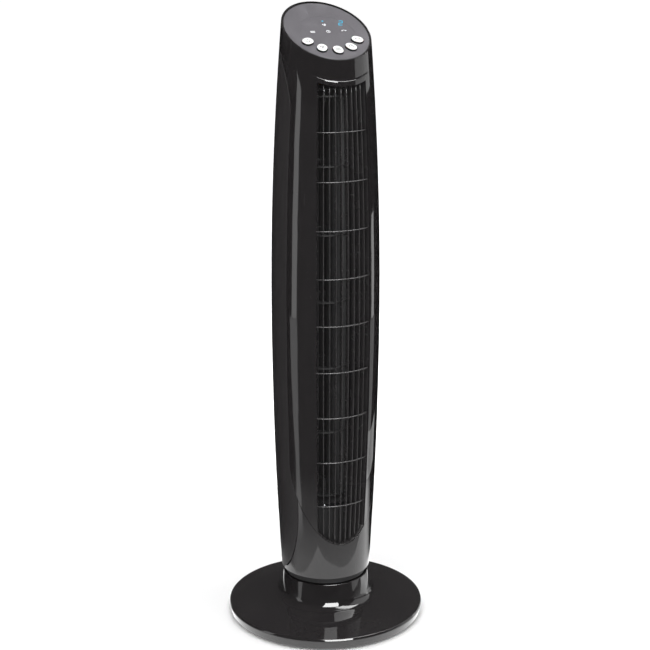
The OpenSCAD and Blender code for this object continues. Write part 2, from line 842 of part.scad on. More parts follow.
module chin_cover() {
    color(gloss_black) difference() {
        intersection() {
            skin(0, wall, tower_z, chin_top_z + 40);
            front_prism() chin_outline(-seam / 2);
        }
        front_prism() cover_outline(seam / 2);
    }
}

// One flat radial fin, from the rounded lower end of the window to the slanted band
module fin(i) {
    n = 16;
    a = -window_angle + 2 * window_angle * i / (fin_count + 1);
    mid = body_r(u_z) - fin_set_back;
    ends = [for (r = [mid - 5, mid - 5 - fin_depth])
        [lower_end_z(r * sin(a)) - frame_t / 2, slant_z(-r * cos(a))]];
    rotate([0, 0, a - 90]) rotate([90, 0, 0]) translate([0, 0, -fin_t / 2])
        linear_extrude(height = fin_t) polygon(concat(
            [for (j = [0 : n]) let (z = ends[0][0] + (ends[0][1] - ends[0][0]) * j / n)
                [body_r(z) - fin_set_back, z]],
            [for (j = [n : -1 : 0]) let (z = ends[1][0] + (ends[1][1] - ends[1][0]) * j / n)
                [body_r(z) - fin_set_back - fin_depth, z]]));
}

// One thin hoop across the fins, from one side of the frame to the other
module hoop(z) {
    r_out = body_r(z) - grille_set_back;
    half = asin((window_half(z) + frame_t * 0.4) / (r_out - hoop_w));
    rotate([0, 0, -90 - half]) rotate_extrude(angle = 2 * half)
        polygon([[r_out - hoop_w, z - hoop_t / 2], [r_out - hoop_t / 3, z - hoop_t / 2],
                 [r_out, z], [r_out - hoop_t / 3, z + hoop_t / 2], [r_out - hoop_w, z + hoop_t / 2]]);
}

// Radial fins and thin hoops in a frame that follows the outlet window, with a closed wall
// behind them below the blower
module front_grille() {
    inner = fin_set_back + fin_depth;
    low = u_z - u_h - 10;
    top = panel_z;
    color(satin_black) difference() {
        union() {
            intersection() {
                skin(grille_set_back, inner, low, top);
                front_prism() difference() {
                    window_outline(frame_t);
                    window_outline();
                }
            }
            for (i = [1 : fin_count]) fin(i);
            intersection() {
                skin(grille_set_back, inner, low, top);
                front_prism() window_outline(frame_t);
                difference() {
                    above_slant(band_h + 1);
                    above_slant(band_h - 1.5);
                }
            }
            for (i = [0 : hoop_count - 1]) hoop(hoop_low_z + i * hoop_pitch);
            intersection() {
                skin(inner - join, inner + backing_t, low, duct_z + duct_t);
                front_prism() window_outline(frame_t);
            }
        }
        above_slant(band_h - 2);
    }
}

// ---------- head ----------

// Solid inside of the head, down to a depth below the rim
module head_inside(inset, top, bottom) {
    intersection() {
        barrel(inset, panel_z - 120);
        on_panel() translate([-far / 2, -far / 2, bottom]) cube([far, far, top - bottom]);
    }
}

module oval(l, w) {
    for (s = [-1, 1]) translate([s * (l - w) / 2, 0]) circle(r = w / 2);
    square([l - w, w], center = true);
}

// Places children at a button, with +X along the radius of the arc
module at_button(i) {
    translate([0, button_arc_y, 0]) rotate([0, 0, -90 + button_angles[i]])
        translate([button_arc_r, 0, 0]) children();
}

module button_holes(z, h, extra) {
    for (i = [0 : 4]) at_button(i) translate([0, 0, z])
        linear_extrude(height = h) oval(button_l + 2 * extra, button_w + 2 * extra);
}

board_screw_at = [[-44, 6], [44, 6], [-22, 34], [22, 34]];

module control_panel() {
    color(satin_black) difference() {
        union() {
            head_inside(wall + seam, plate_top, plate_top - panel_t);
            on_panel() for (p = board_screw_at)
                rod(p[0], p[1], board_top, 3, board_gap + join);
        }
        on_panel() {
            button_holes(plate_top - panel_t - 1, panel_t + 3, button_gap);
            translate([digit_at[0], digit_at[1], plate_top - panel_t / 2])
                cube([digit_window[0], digit_window[1], panel_t + 2], center = true);
            for (p = board_screw_at) rod(p[0], p[1], board_top - 1, 1, board_gap + 1);
        }
    }
}

module panel_overlay() {
    color(panel_grey) difference() {
        head_inside(wall + seam + film_inset, plate_top + overlay_t, plate_top);
        on_panel() {
            button_holes(plate_top - 1, 3, button_gap);
            translate([0, button_arc_y, 0])
                ring(groove_r + 0.4, groove_r - 0.4, plate_top + overlay_t - 0.15, 1);
        }
    }
}

module control_board() {
    color("darkgreen") on_panel() translate([0, -4, board_top - board_t]) difference() {
        cylinder(r = board_r, h = board_t);
        for (p = board_screw_at) rod(p[0], p[1] + 4, -1, 1.3, board_t + 2);
    }
}

module board_screws() {
    color(steel) on_panel() for (p = board_screw_at)
        translate([p[0], p[1], board_top - board_t - 0.05]) rotate([180, 0, 0])
            screw(0.95, 7, 2.2, 1.4);
}

switch_h = 3.4;
plunger_h = 1.2;
module tact_switches() {
    color("dimgray") on_panel() for (i = [0 : 4]) at_button(i) {
        translate([-3, -3, board_top]) cube([6, 6, switch_h]);
        rod(0, 0, board_top + switch_h - 0.1, 1.7, plunger_h + 0.1);
    }
}

module led_display() {
    color("white") on_panel()
        translate([digit_at[0] - digit_window[0] / 2 + seam, digit_at[1] - digit_window[1] / 2 + seam,
                   board_top])
            cube([digit_window[0] - 2 * seam, digit_window[1] - 2 * seam,
                  plate_top - board_top - 0.2]);
}

module ir_receiver() {
    color("black") on_panel() translate([-30, 18, board_top]) {
        translate([-3, -2, 0]) cube([6, 4, 6]);
        translate([0, 0, 5.9]) cylinder(r = 1.9, h = 1);
    }
}

// A button with a retaining flange under the panel and a stem towards its switch
module button(i) {
    under = plate_top - panel_t - 0.3;
    stem_end = board_top + switch_h + plunger_h + button_travel + 0.3;
    color("white") on_panel() at_button(i) {
        translate([0, 0, under - 0.1])
            linear_extrude(height = button_rise - under + 0.1 - 0.6) oval(button_l, button_w);
        translate([0, 0, button_rise - 0.6 - 0.05])
            linear_extrude(height = 0.65) oval(button_l - 1.2, button_w - 1.2);
        translate([0, 0, under - flange_t]) linear_extrude(height = flange_t)
            oval(button_l + 2 * button_gap + 2 * button_flange,
                 button_w + 2 * button_gap + 2 * button_flange);
        translate([0, 0, stem_end]) cylinder(r = 2, h = under - stem_end);
    }
}

module power_button() { button(0); }
module speed_button() { button(1); }
module mode_button() { button(2); }
module timer_button() { button(3); }
module oscillate_button() { button(4); }

base_dish();
base_cover();
base_weight();
rubber_feet();
base_screws();
cord_gland();
pivot_post();
pivot_screws();
glide_ring();
fixed_gear();
retaining_clip();
turntable();
rear_shell();
front_cover();
chin_cover();
front_grille();
shell_screws();
duct_scroll();
duct_tongue();
duct_bottom_plate();
duct_top_plate();
top_bush();
motor_bracket();
motor_mounts();
motor_stator();
motor_windings();
motor_cap_lower();
motor_cap_upper();
motor_capacitor();
power_board();
wiring_loom();
osc_motor();
osc_bracket();
osc_screws();
osc_pinion();
osc_shaft();
control_panel();
panel_overlay();
control_board();
board_screws();
tact_switches();
led_display();
ir_receiver();
blower_wheel();
blower_shaft();
top_stub_shaft();
motor_rotor();
power_button();
speed_button();
mode_button();
timer_button();
oscillate_button();
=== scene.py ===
"""Looks of a tower fan: its moulded shells, grille, buttons, finishes, floor and studio light."""

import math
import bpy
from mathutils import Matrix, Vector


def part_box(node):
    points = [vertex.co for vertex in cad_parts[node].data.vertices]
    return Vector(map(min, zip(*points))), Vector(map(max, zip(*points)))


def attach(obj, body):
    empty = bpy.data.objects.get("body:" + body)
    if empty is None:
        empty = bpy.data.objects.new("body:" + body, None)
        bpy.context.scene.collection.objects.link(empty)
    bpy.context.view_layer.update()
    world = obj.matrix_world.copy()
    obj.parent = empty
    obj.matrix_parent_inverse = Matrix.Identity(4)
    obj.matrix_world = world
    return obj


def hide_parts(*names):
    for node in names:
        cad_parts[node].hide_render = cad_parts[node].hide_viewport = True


bl_info = {
    "name": "Tower fan",
    "version": (1, 0, 0),
    "blender": (4, 5, 0),
    "location": "View3D > Sidebar > Tower fan",
    "description": "Builds the shells, grille, buttons, finishes and stage of a tower fan",
    "category": "Object",
}

import bmesh
import bpy
from bpy.props import FloatProperty, FloatVectorProperty, IntProperty, PointerProperty
from mathutils import Matrix, Vector

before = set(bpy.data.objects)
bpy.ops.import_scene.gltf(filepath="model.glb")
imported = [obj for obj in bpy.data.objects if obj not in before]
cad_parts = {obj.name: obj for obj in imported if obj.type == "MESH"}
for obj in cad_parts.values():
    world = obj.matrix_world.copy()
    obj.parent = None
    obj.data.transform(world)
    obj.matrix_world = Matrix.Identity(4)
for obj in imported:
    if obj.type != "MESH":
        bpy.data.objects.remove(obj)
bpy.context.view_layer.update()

MM = 0.001
DISH_LOW, DISH_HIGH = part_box("base_dish")
CHIN_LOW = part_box("chin_cover")[0]
CRISP = math.radians(40)         # edges of turned pieces that bend more than this stay crisp


# ---------- sizes and colours that a user would change ----------

def length(name, description, default):
    """A length in metres, given in millimetres."""
    return FloatProperty(name=name, description=description, default=default * MM,
                         unit="LENGTH", precision=4)


def angle(name, description, degrees):
    return FloatProperty(name=name, description=description, default=math.radians(degrees),
                         subtype="ANGLE")


def colour(name, description, default):
    return FloatVectorProperty(name=name, description=description, default=default,
                               subtype="COLOR", size=3, min=0.0, max=1.0)


def plain(name, description, default):
    return FloatProperty(name=name, description=description, default=default)


def count(name, description, default):
    return IntProperty(name=name, description=description, default=default, min=1)


class TowerForm(bpy.types.PropertyGroup):
    """The barrel shape of the tower, its head and the seams between its shells."""

    waist_d: length("Waist diameter", "Widest diameter of the tower", 158)
    foot_d: length("Foot diameter", "Diameter at the tower's lower edge", 133)
    head_d: length("Head diameter", "Diameter at the middle of the panel", 126)
    waist_z: length("Waist height", "Height of the widest point", 480)
    foot_z: length("Foot height", "Height of the tower's lower edge", CHIN_LOW.z / MM)
    panel_z: length("Panel height", "Height of the middle of the panel", 880)
    slope: angle("Panel slope", "Slope of the control panel", 29.5)
    wall: length("Wall", "Thickness of the shells", 2.4)
    seam: length("Seam", "Gap between neighbouring shells", 0.45)
    band_h: length("Head band", "Height of the band above the grille", 34)
    seam_inset: length("Seam inset", "How far in front of the sides the seam runs", 6.3)
    flare_h: length("Seam flare", "Height over which the seam swings to the side", 78)
    lobe_h: length("Lobe height", "Height of the front cover's rounded lower end", 132)
    lobe_z: length("Lobe top", "Where the rounded lower end begins", 263.4)
    chin_mid: length("Chin waist", "Height of the chin's narrowest line", 165.4)
    chin_in: length("Chin inset", "How much narrower the chin is than the tower", 11.4)
    chin_bow: length("Chin curve", "Radius of the chin's sides", 500)
    edge: length("Edge radius", "Rounding of the shells' edges", 0.7)

    def radius(self, z):
        """Outer radius of the tower: two parabolas that meet at the waist."""
        upper = z > self.waist_z
        end_z, end_d = (self.panel_z, self.head_d) if upper else (self.foot_z, self.foot_d)
        share = (z - self.waist_z) / (end_z - self.waist_z)
        return (self.waist_d - (self.waist_d - end_d) * share * share) / 2

    def slant_z(self, drop, y):
        """Height of the plane that lies a drop below the panel's rim."""
        return self.panel_z - drop + y * math.tan(self.slope)

    def slant_at(self, drop, turn, inset=0.0):
        """Where that plane cuts the tower's side, at an angle from the front."""
        z = self.panel_z - drop
        for _ in range(12):
            z = self.slant_z(drop, -(self.radius(z) - inset) * math.cos(turn))
        return z

    def seam_half(self, z):
        """Half width of the front cover's seam."""
        t = (z - (self.panel_z - self.band_h) + self.flare_h) / self.flare_h
        t = min(max(t, 0.0), 1.0)
        return self.radius(z) - self.seam_inset * (1 - t * t * (3 - 2 * t))

    def lobe_half(self, z):
        """Half width of the front cover's rounded lower end."""
        drop = (self.lobe_z - z) / self.lobe_h
        return self.seam_half(self.lobe_z) * math.sqrt(max(0.0, 1 - drop * drop))

    def lobe_bottom(self, x):
        """Height of the rounded lower end at a distance from the middle."""
        share = min(1.0, abs(x) / self.seam_half(self.lobe_z))
        return self.lobe_z - self.lobe_h * math.sqrt(1 - share * share)

    def chin_half(self, z):
        middle = self.radius(self.chin_mid) - self.chin_in
        return middle + (z - self.chin_mid) ** 2 / (2 * self.chin_bow)

    def cover_half(self, z):
        return self.lobe_half(z) if z < self.lobe_z else self.seam_half(z)

    def chin_top(self):
        """Height where the chin's side meets the rounded lower end."""
        low, high = self.chin_mid, self.lobe_z - self.lobe_h / 3
        for _ in range(40):
            z = (low + high) / 2
            low, high = (z, high) if self.lobe_half(z) < self.chin_half(z) else (low, z)
        return low

    def rear_edge(self, z):
        """Angle from the front at which the rear shell begins."""
        half = self.chin_half(z) if z < self.chin_top() else self.cover_half(z)
        radius = self.radius(z)
        return math.asin(min(1.0, (half + self.seam / 2) / radius))

    def window_tip(self, window):
        """Height where the window's side meets the rounded lower end."""
        tip = self.lobe_z - self.lobe_h
        for _ in range(60):
            tip += (self.lobe_bottom(self.radius(tip) * math.sin(window)) - tip) * 0.5
        return tip


class GrilleForm(bpy.types.PropertyGroup):
    """The outlet window with its fins and hoops, and the intake slots at the back."""

    window: angle("Window half angle", "Half angle of the outlet window", 32)
    fins: count("Fins", "Number of vertical fins", 8)
    fin_t: length("Fin thickness", "Thickness of a fin", 1.4)
    fin_depth: length("Fin depth", "Depth of a fin along the radius", 9.5)
    hoops: count("Hoops", "Number of thin hoops across the fins", 9)
    hoop_low: length("Lowest hoop", "Height of the lowest hoop", 193.4)
    hoop_pitch: length("Hoop pitch", "Distance from hoop to hoop", 68.95)
    hoop_t: length("Hoop thickness", "Height of a hoop's section", 1.6)
    hoop_w: length("Hoop width", "Depth of a hoop's section", 2.6)
    set_back: length("Set back", "How far the hoops lie behind the tower's surface", 2.7)
    frame_t: length("Frame", "Thickness of the frame round the fins", 2)
    blades: count("Blades", "Number of blades round the blower wheel", 28)
    blade_t: length("Blade thickness", "Thickness of a blade", 1.9)
    blade_lean: angle("Blade lean", "How far a blade leans from the radius", 20)
    stages: count("Stages", "Number of stacked wheel sections", 6)
    slot_pitch: length("Slot pitch", "Distance from intake slot to intake slot", 9.5)
    slot_h: length("Slot height", "Height of an intake slot", 5)
    vent_half: length("Vent half width", "Half width of the slotted area", 70)
    vent_low: length("Vent low", "Where the slotted area starts to narrow downwards", 350.4)
    vent_high: length("Vent high", "Where the slotted area starts to narrow upwards", 640)
    vent_low_h: length("Vent low end", "Height of the narrowing lower end", 195)
    vent_high_h: length("Vent high end", "Height of the narrowing upper end", 160)

    def vent_at(self, z):
        """Half width of the slotted area."""
        if z < self.vent_low:
            share = (self.vent_low - z) / self.vent_low_h
        else:
            share = max(0.0, z - self.vent_high) / self.vent_high_h
        return self.vent_half * math.sqrt(max(0.0, 1 - share * share))


class BaseForm(bpy.types.PropertyGroup):
    """The round base with its upright hub."""

    base_r: length("Base radius", "Radius of the base at its widest", DISH_HIGH.x / MM)
    foot_gap: length("Foot gap", "Height of the base's lower edge", DISH_LOW.z / MM)
    hub_r: length("Hub radius", "Radius of the hub's top", 63.5)
    hub_z: length("Hub height", "Height of the hub's top", DISH_HIGH.z / MM)
    hub_bore: length("Hub bore", "Radius of the hole for the pivot", 20.3)
    flare_r: length("Flare", "Radius of the concave flare", 16)
    draft: angle("Hub draft", "Slope of the hub's side", 12)
    rim_in: length("Rim tuck", "How far the rim tucks in at its lower edge", 3.5)
    rim_z: length("Rim height", "Height of the rim's widest line", 15)
    rim_top: length("Rim top", "Height where the rim meets the dish", 18.5)
    dish_rise: length("Dish rise", "Rise of the dish from its rim to the flare", 10)
    wall: length("Wall", "Thickness of the dish", 3)


class HeadForm(bpy.types.PropertyGroup):
    """The buttons and printed marks on the slanted panel."""

    film_drop: length("Film drop", "Depth of the film below the rim", 0.8)
    arc_r: length("Button arc", "Radius of the arc of buttons", 42)
    arc_y: length("Arc centre", "Upslope place of the arc's centre", -9.7)
    arc_step: angle("Button step", "Angle from button to button", 31)
    button_l: length("Button length", "Length of a button along the radius", 17)
    button_w: length("Button width", "Width of a button", 14)
    button_rise: length("Button rise", "Height of a button above the rim", 2)
    digit_w: length("Digit width", "Width of the lit digit", 5.4)
    digit_h: length("Digit height", "Height of the lit digit", 10.2)
    # Painted shade: the keys' sides below this drop take a dark finish, standing in for the shade
    # that falls on them.
    painted_shade_skirt_drop: length("Painted shade skirt drop", "How far below a key's top its dark skirt begins", 0.75)
    print_t: length("Print thickness", "Thickness of a printed mark", 0.06)


class Finishes(bpy.types.PropertyGroup):
    """Colours of the plastics."""

    gloss: colour("Gloss black", "Front shells and base", (0.0225, 0.0205, 0.0213))
    satin: colour("Satin black", "Rear shell", (0.0340, 0.0315, 0.0325))
    # The grille's black is set lighter than the shells' to lift the shade between the fins:
    # painted light over the plastic's own black.
    grille: colour("Grille black", "Fins and hoops", (0.0440, 0.0415, 0.0425))
    film: colour("Panel film", "Metallic grey film on the panel", (0.136, 0.130, 0.142))
    button: colour("Button white", "Push buttons", (0.88, 0.88, 0.87))
    glow: colour("Display light", "Lit digit and dot", (0.0, 0.27, 0.42))


class Studio(bpy.types.PropertyGroup):
    """Floor, lights and camera."""

    floor_size: length("Floor size", "Width of the pale floor", 60000)
    key: plain("Overhead light", "Power of the overhead light in watts", 150.0)
    fill: plain("Fill light", "Power of each side light in watts", 20.0)
    room: plain("Room light", "Strength of the room that shows in reflections", 0.045)
    lens: plain("Lens", "Focal length of the camera in millimetres", 85.7)
    camera_turn: angle("Camera turn", "Turn of the camera round the tower", 22.5)
    camera_tilt: angle("Camera tilt", "How far the camera looks down", 15.62)


# ---------- mesh helpers ----------

def new_object(name, points, faces):
    mesh = bpy.data.meshes.new(name)
    mesh.from_pydata([tuple(p) for p in points], [], faces)
    mesh.validate()
    made = bpy.data.objects.new(name, mesh)
    bpy.context.scene.collection.objects.link(made)
    return made


def weld(made, gap=2e-6):
    """Joins points that lie together, turns the faces outwards and shades them smooth."""
    work = bmesh.new()
    work.from_mesh(made.data)
    bmesh.ops.remove_doubles(work, verts=work.verts, dist=gap)
    bmesh.ops.dissolve_degenerate(work, edges=work.edges, dist=gap / 4)
    bmesh.ops.recalc_face_normals(work, faces=work.faces)
    for face in work.faces:
        face.smooth = True
    work.to_mesh(made.data)
    work.free()
    return made


def soften(made, width, segments=2, limit=35):
    """Rounds the edges of a piece and keeps its flat and curved faces clean."""
    bevel = made.modifiers.new("Edges", "BEVEL")
    bevel.width = width
    bevel.segments = segments
    bevel.limit_method = "ANGLE"
    bevel.angle_limit = math.radians(limit)
    bevel.use_clamp_overlap = True
    return even_normals(made)


def even_normals(made):
    """Lets the large faces lead the shading."""
    normals = made.modifiers.new("Normals", "WEIGHTED_NORMAL")
    normals.weight = 90
    return made


def thicken(made, wall):
    """Gives a surface its wall, inwards."""
    solid = made.modifiers.new("Wall", "SOLIDIFY")
    solid.thickness = wall
    solid.offset = -1.0
    solid.use_even_offset = True
    return made


def grid_faces(rows, columns, start=0, closed=False):
    """Quads between rows of points that were stored one row after another."""
    faces = []
    last = columns if closed else columns - 1
    for i in range(rows - 1):
        for j in range(last):
            a = start + i * columns + j
            b = start + i * columns + (j + 1) % columns
            faces.append((a, b, b + columns, a + columns))
    return faces


def end_faces(start, end, size):
    """Faces that close a run of equal outlines at its first and its last one."""
    return [tuple(start + k for k in reversed(range(size))),
            tuple(end + k for k in range(size))]


def on_tower(form, turn, z, inset=0.0):
    """A point on the tower at an angle from the front, positive towards +X."""
    radius = form.radius(z) - inset
    return (radius * math.sin(turn), -radius * math.cos(turn), z)


def add_turned(points, faces, profile, steps=192, middle=(0.0, 0.0)):
    """Adds a closed half section, given as radius and height, turned about an upright axis."""
    start, size = len(points), len(profile)
    for k in range(steps):
        turn = 2 * math.pi * k / steps
        points += [(middle[0] + r * math.sin(turn), middle[1] - r * math.cos(turn), z)
                   for r, z in profile]
        nearby = (k + 1) % steps
        for j in range(size):
            after = (j + 1) % size
            faces.append(tuple(start + n for n in (k * size + j, nearby * size + j,
                                                   nearby * size + after, k * size + after)))


def lathe(name, profile, steps=192):
    points, faces = [], []
    add_turned(points, faces, profile, steps)
    turned = weld(new_object(name, points, faces))
    turned.data.set_sharp_from_angle(angle=CRISP)
    return turned


def filleted(corners, steps=6):
    """An open path of (x, y, corner radius) with its inner corners rounded."""
    path = [corners[0][:2]]
    for before, (x, y, radius), after in zip(corners, corners[1:], corners[2:]):
        here = Vector((x, y))
        back = Vector(before[:2]) - here
        on = Vector(after[:2]) - here
        reach = min(radius / math.tan(back.angle(on) / 2), back.length / 2, on.length / 2)
        start = here + back.normalized() * reach
        end = here + on.normalized() * reach
        for k in range(steps + 1):
            t = k / steps
            bend = start * (1 - t) ** 2 + here * 2 * t * (1 - t) + end * t * t
            path.append((bend.x, bend.y))
    return path + [corners[-1][:2]]


def carve(piece, cutter):
    """Cuts one mesh out of another and keeps only the result."""
    cut = piece.modifiers.new("Cut", "BOOLEAN")
    cut.object = cutter
    cut.solver = "EXACT"
    bpy.context.view_layer.update()
    solved = piece.evaluated_get(bpy.context.evaluated_depsgraph_get())
    mesh = bpy.data.meshes.new_from_object(solved)
    piece.modifiers.remove(cut)
    piece.data = mesh
    bpy.data.objects.remove(cutter)
    return piece


def stadium(long, wide, steps=16):
    """Outline of a slot shape with round ends along X."""
    r, run = wide / 2, (long - wide) / 2
    ends = []
    for side in (0, 1):
        for k in range(steps + 1):
            a = -math.pi / 2 + math.pi * (k / steps + side)
            ends.append((run * (1 - 2 * side) + r * math.cos(a), r * math.sin(a)))
    return ends


def plates(name, outlines, thickness, place):
    """Flat prints: each outline becomes a thin plate that stands on a placed plane."""
    points, faces = [], []
    for outline in outlines:
        start, size = len(points), len(outline)
        points += [place @ Vector((x, y, 0.0)) for x, y in outline]
        points += [place @ Vector((x, y, thickness)) for x, y in outline]
        faces += end_faces(start, start + size, size)
        for k in range(size):
            m = (k + 1) % size
            faces.append((start + k, start + m, start + size + m, start + size + k))
    return new_object(name, points, faces)


def bar(x0, y0, x1, y1, width):
    """Outline of a straight stroke."""
    run = Vector((x1 - x0, y1 - y0)).normalized() * width / 2
    side = Vector((-run.y, run.x))
    return [(x0 - side.x, y0 - side.y), (x1 - side.x, y1 - side.y),
            (x1 + side.x, y1 + side.y), (x0 + side.x, y0 + side.y)]


def bow(x, y, radius, width, start, end, steps=14):
    """Outline of a curved stroke between two angles in degrees."""
    turns = [math.radians(start + (end - start) * k / steps) for k in range(steps + 1)]
    outer = [(x + (radius + width / 2) * math.cos(a), y + (radius + width / 2) * math.sin(a))
             for a in turns]
    inner = [(x + (radius - width / 2) * math.cos(a), y + (radius - width / 2) * math.sin(a))
             for a in reversed(turns)]
    return outer + inner


def disc(x, y, radius, steps=20):
    return [(x + radius * math.cos(2 * math.pi * k / steps),
             y + radius * math.sin(2 * math.pi * k / steps)) for k in range(steps)]


def scaled(outlines, factor):
    return [[(x * factor, y * factor) for x, y in outline] for outline in outlines]


def settle(piece, body, finish, stands_for=()):
    """Gives a piece its finish and its body, and hides the CAD nodes it stands for."""
    piece.data.materials.clear()
    piece.data.materials.append(finish)
    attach(piece, body)
    if stands_for:
        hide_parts(*stands_for)
    return piece


# ---------- shader helpers ----------

def add(tree, kind, sockets=None, **settings):
    """Adds a shader node, sets it, and links or fills its sockets."""
    made = tree.nodes.new("ShaderNode" + kind)
    for name, value in settings.items():
        setattr(made, name, value)
    for key, value in (sockets or {}).items():
        if isinstance(value, bpy.types.NodeSocket):
            tree.links.new(value, made.inputs[key])
        else:
            made.inputs[key].default_value = value
    return made


def maths(tree, operation, first, second=0.0, third=0.0):
    return add(tree, "Math", {0: first, 1: second, 2: third}, operation=operation).outputs[0]


def spread(tree, value, low, high, to_low=0.0, to_high=1.0):
    """Stretches a value from one range to another, clamped."""
    return add(tree, "MapRange", {"Value": value, "From Min": low, "From Max": high,
                                  "To Min": to_low, "To Max": to_high}).outputs["Result"]


def noise(tree, place, scale, detail=3.0, roughness=0.55, distortion=0.0):
    return add(tree, "TexNoise", {"Vector": place, "Scale": scale, "Detail": detail,
                                  "Roughness": roughness,
                                  "Distortion": distortion}).outputs["Fac"]


def own_place(tree):
    return add(tree, "TexCoord").outputs["Object"]


def stretched(tree, place, scale, turn=(0.0, 0.0, 0.0)):
    return add(tree, "Mapping", {"Vector": place, "Scale": scale, "Rotation": turn}).outputs[0]


def new_group(name, inputs, outputs):
    """A shader node group with named sockets."""
    tree = bpy.data.node_groups.new(name, "ShaderNodeTree")
    for label, default in inputs.items():
        socket = tree.interface.new_socket(name=label, in_out="INPUT",
                                           socket_type="NodeSocketFloat")
        socket.default_value = default
    for label in outputs:
        tree.interface.new_socket(name=label, in_out="OUTPUT", socket_type="NodeSocketFloat")
    return tree, tree.nodes.new("NodeGroupInput"), tree.nodes.new("NodeGroupOutput")


def shared_group(build):
    """Builds a shader node group the first time that a material places it."""
    name = build.__name__.replace("_", " ").capitalize()

    def ask():
        return bpy.data.node_groups.get(name) or build(name)
    return ask


@shared_group
def moulded_grain(name):
    """Fine texture of a spark-eroded mould."""
    tree, given, result = new_group(name, {"Scale": 1400.0}, ["Height"])
    place = own_place(tree)
    cells = add(tree, "TexVoronoi", {"Vector": place, "Scale": given.outputs["Scale"]})
    cloud = noise(tree, place, given.outputs["Scale"], 2.0)
    height = maths(tree, "MULTIPLY_ADD", cells.outputs["Distance"], 0.6, cloud)
    tree.links.new(height, result.inputs["Height"])
    return tree


@shared_group
def handling_marks(name):
    """Wiped smudges and hair scratches left by handling."""
    tree, given, result = new_group(name, {"Size": 16.0, "Scratches": 0.5},
                                    ["Smudge", "Scratch"])
    place = own_place(tree)
    cloud = noise(tree, place, given.outputs["Size"], 5.0, 0.6, 1.4)
    tree.links.new(spread(tree, cloud, 0.48, 0.72), result.inputs["Smudge"])
    strokes = []
    for scale, turn in (((260.0, 260.0, 14.0), (0.3, 0.2, 0.1)),
                        ((18.0, 300.0, 300.0), (0.2, 0.5, 0.9))):
        lines = noise(tree, stretched(tree, place, scale, turn), 1.0, 1.0)
        strokes.append(spread(tree, lines, 0.70, 0.74))
    both = maths(tree, "MAXIMUM", strokes[0], strokes[1])
    patches = spread(tree, noise(tree, place, 9.0, 2.0), 0.5, 0.62)
    marks = maths(tree, "MULTIPLY", maths(tree, "MULTIPLY", both, patches),
                  given.outputs["Scratches"])
    tree.links.new(marks, result.inputs["Scratch"])
    return tree


@shared_group
def settled_dust(name):
    """Specks and haze that lie on faces that look up."""
    tree, given, result = new_group(name, {"Amount": 0.5}, ["Dust"])
    place = own_place(tree)
    facing = add(tree, "SeparateXYZ", {0: add(tree, "NewGeometry").outputs["Normal"]})
    upward = spread(tree, facing.outputs["Z"], 0.25, 0.95)
    specks = spread(tree, noise(tree, place, 900.0, 1.0), 0.68, 0.76)
    haze = spread(tree, noise(tree, place, 22.0, 4.0), 0.35, 0.8, 0.0, 0.35)
    both = maths(tree, "MULTIPLY", maths(tree, "MAXIMUM", specks, haze), upward)
    tree.links.new(maths(tree, "MULTIPLY", both, given.outputs["Amount"]),
                   result.inputs["Dust"])
    return tree


@shared_group
def worn_edges(name):
    """Edges that are rubbed brighter and smoother."""
    tree, given, result = new_group(name, {"Amount": 0.5}, ["Wear"])
    point = add(tree, "NewGeometry").outputs["Pointiness"]
    rubbed = spread(tree, point, 0.53, 0.62)
    patches = spread(tree, noise(tree, own_place(tree), 60.0, 4.0), 0.4, 0.65)
    wear = maths(tree, "MULTIPLY", maths(tree, "MULTIPLY", rubbed, patches),
                 given.outputs["Amount"])
    tree.links.new(wear, result.inputs["Wear"])
    return tree


def place_group(tree, group, **values):
    made = tree.nodes.new("ShaderNodeGroup")
    made.node_tree = group
    for label, value in values.items():
        made.inputs[label].default_value = value
    return made


def new_finish(name, **constants):
    """A material with a Principled shader whose even values are set on its own sockets."""
    finish = bpy.data.materials.new(name)
    finish.use_nodes = True
    tree = finish.node_tree
    tree.nodes.clear()
    shader = add(tree, "BsdfPrincipled")
    for label, value in constants.items():
        shader.inputs[label.replace("_", " ")].default_value = value
    tree.links.new(shader.outputs[0], add(tree, "OutputMaterial").inputs["Surface"])
    return finish, tree, shader


def feed(tree, shader, **sources):
    """Links what varies over a surface to the shader's sockets."""
    for label, source in sources.items():
        tree.links.new(source, shader.inputs[label.replace("_", " ")])


def bump(tree, shader, height, distance, strength=1.0):
    made = add(tree, "Bump", {"Height": height, "Distance": distance, "Strength": strength})
    tree.links.new(made.outputs["Normal"], shader.inputs["Normal"])
    return made


def tint(tree, fac, first, second):
    """A colour between two others, by a mask."""
    made = add(tree, "Mix", {0: fac}, data_type="RGBA")
    for place, shade in ((6, first), (7, second)):
        if isinstance(shade, bpy.types.NodeSocket):
            tree.links.new(shade, made.inputs[place])
        else:
            made.inputs[place].default_value = (*shade, 1.0)
    return made.outputs[2]


# ---------- finishes ----------

# painted glow: a faint emission that lifts the black of the parts inside the tower, standing in
# for stray light
PAINTED_GLOW_COLOUR, PAINTED_GLOW_LEVEL = (1.0, 0.95, 0.97, 1.0), 0.005


def finish_once(build):
    """Makes each finish the first time that a piece asks for it."""
    made = {}

    def ask():
        if "finish" not in made:
            made["finish"] = build(bpy.context.scene.fan_finishes)
        return made["finish"]
    return ask


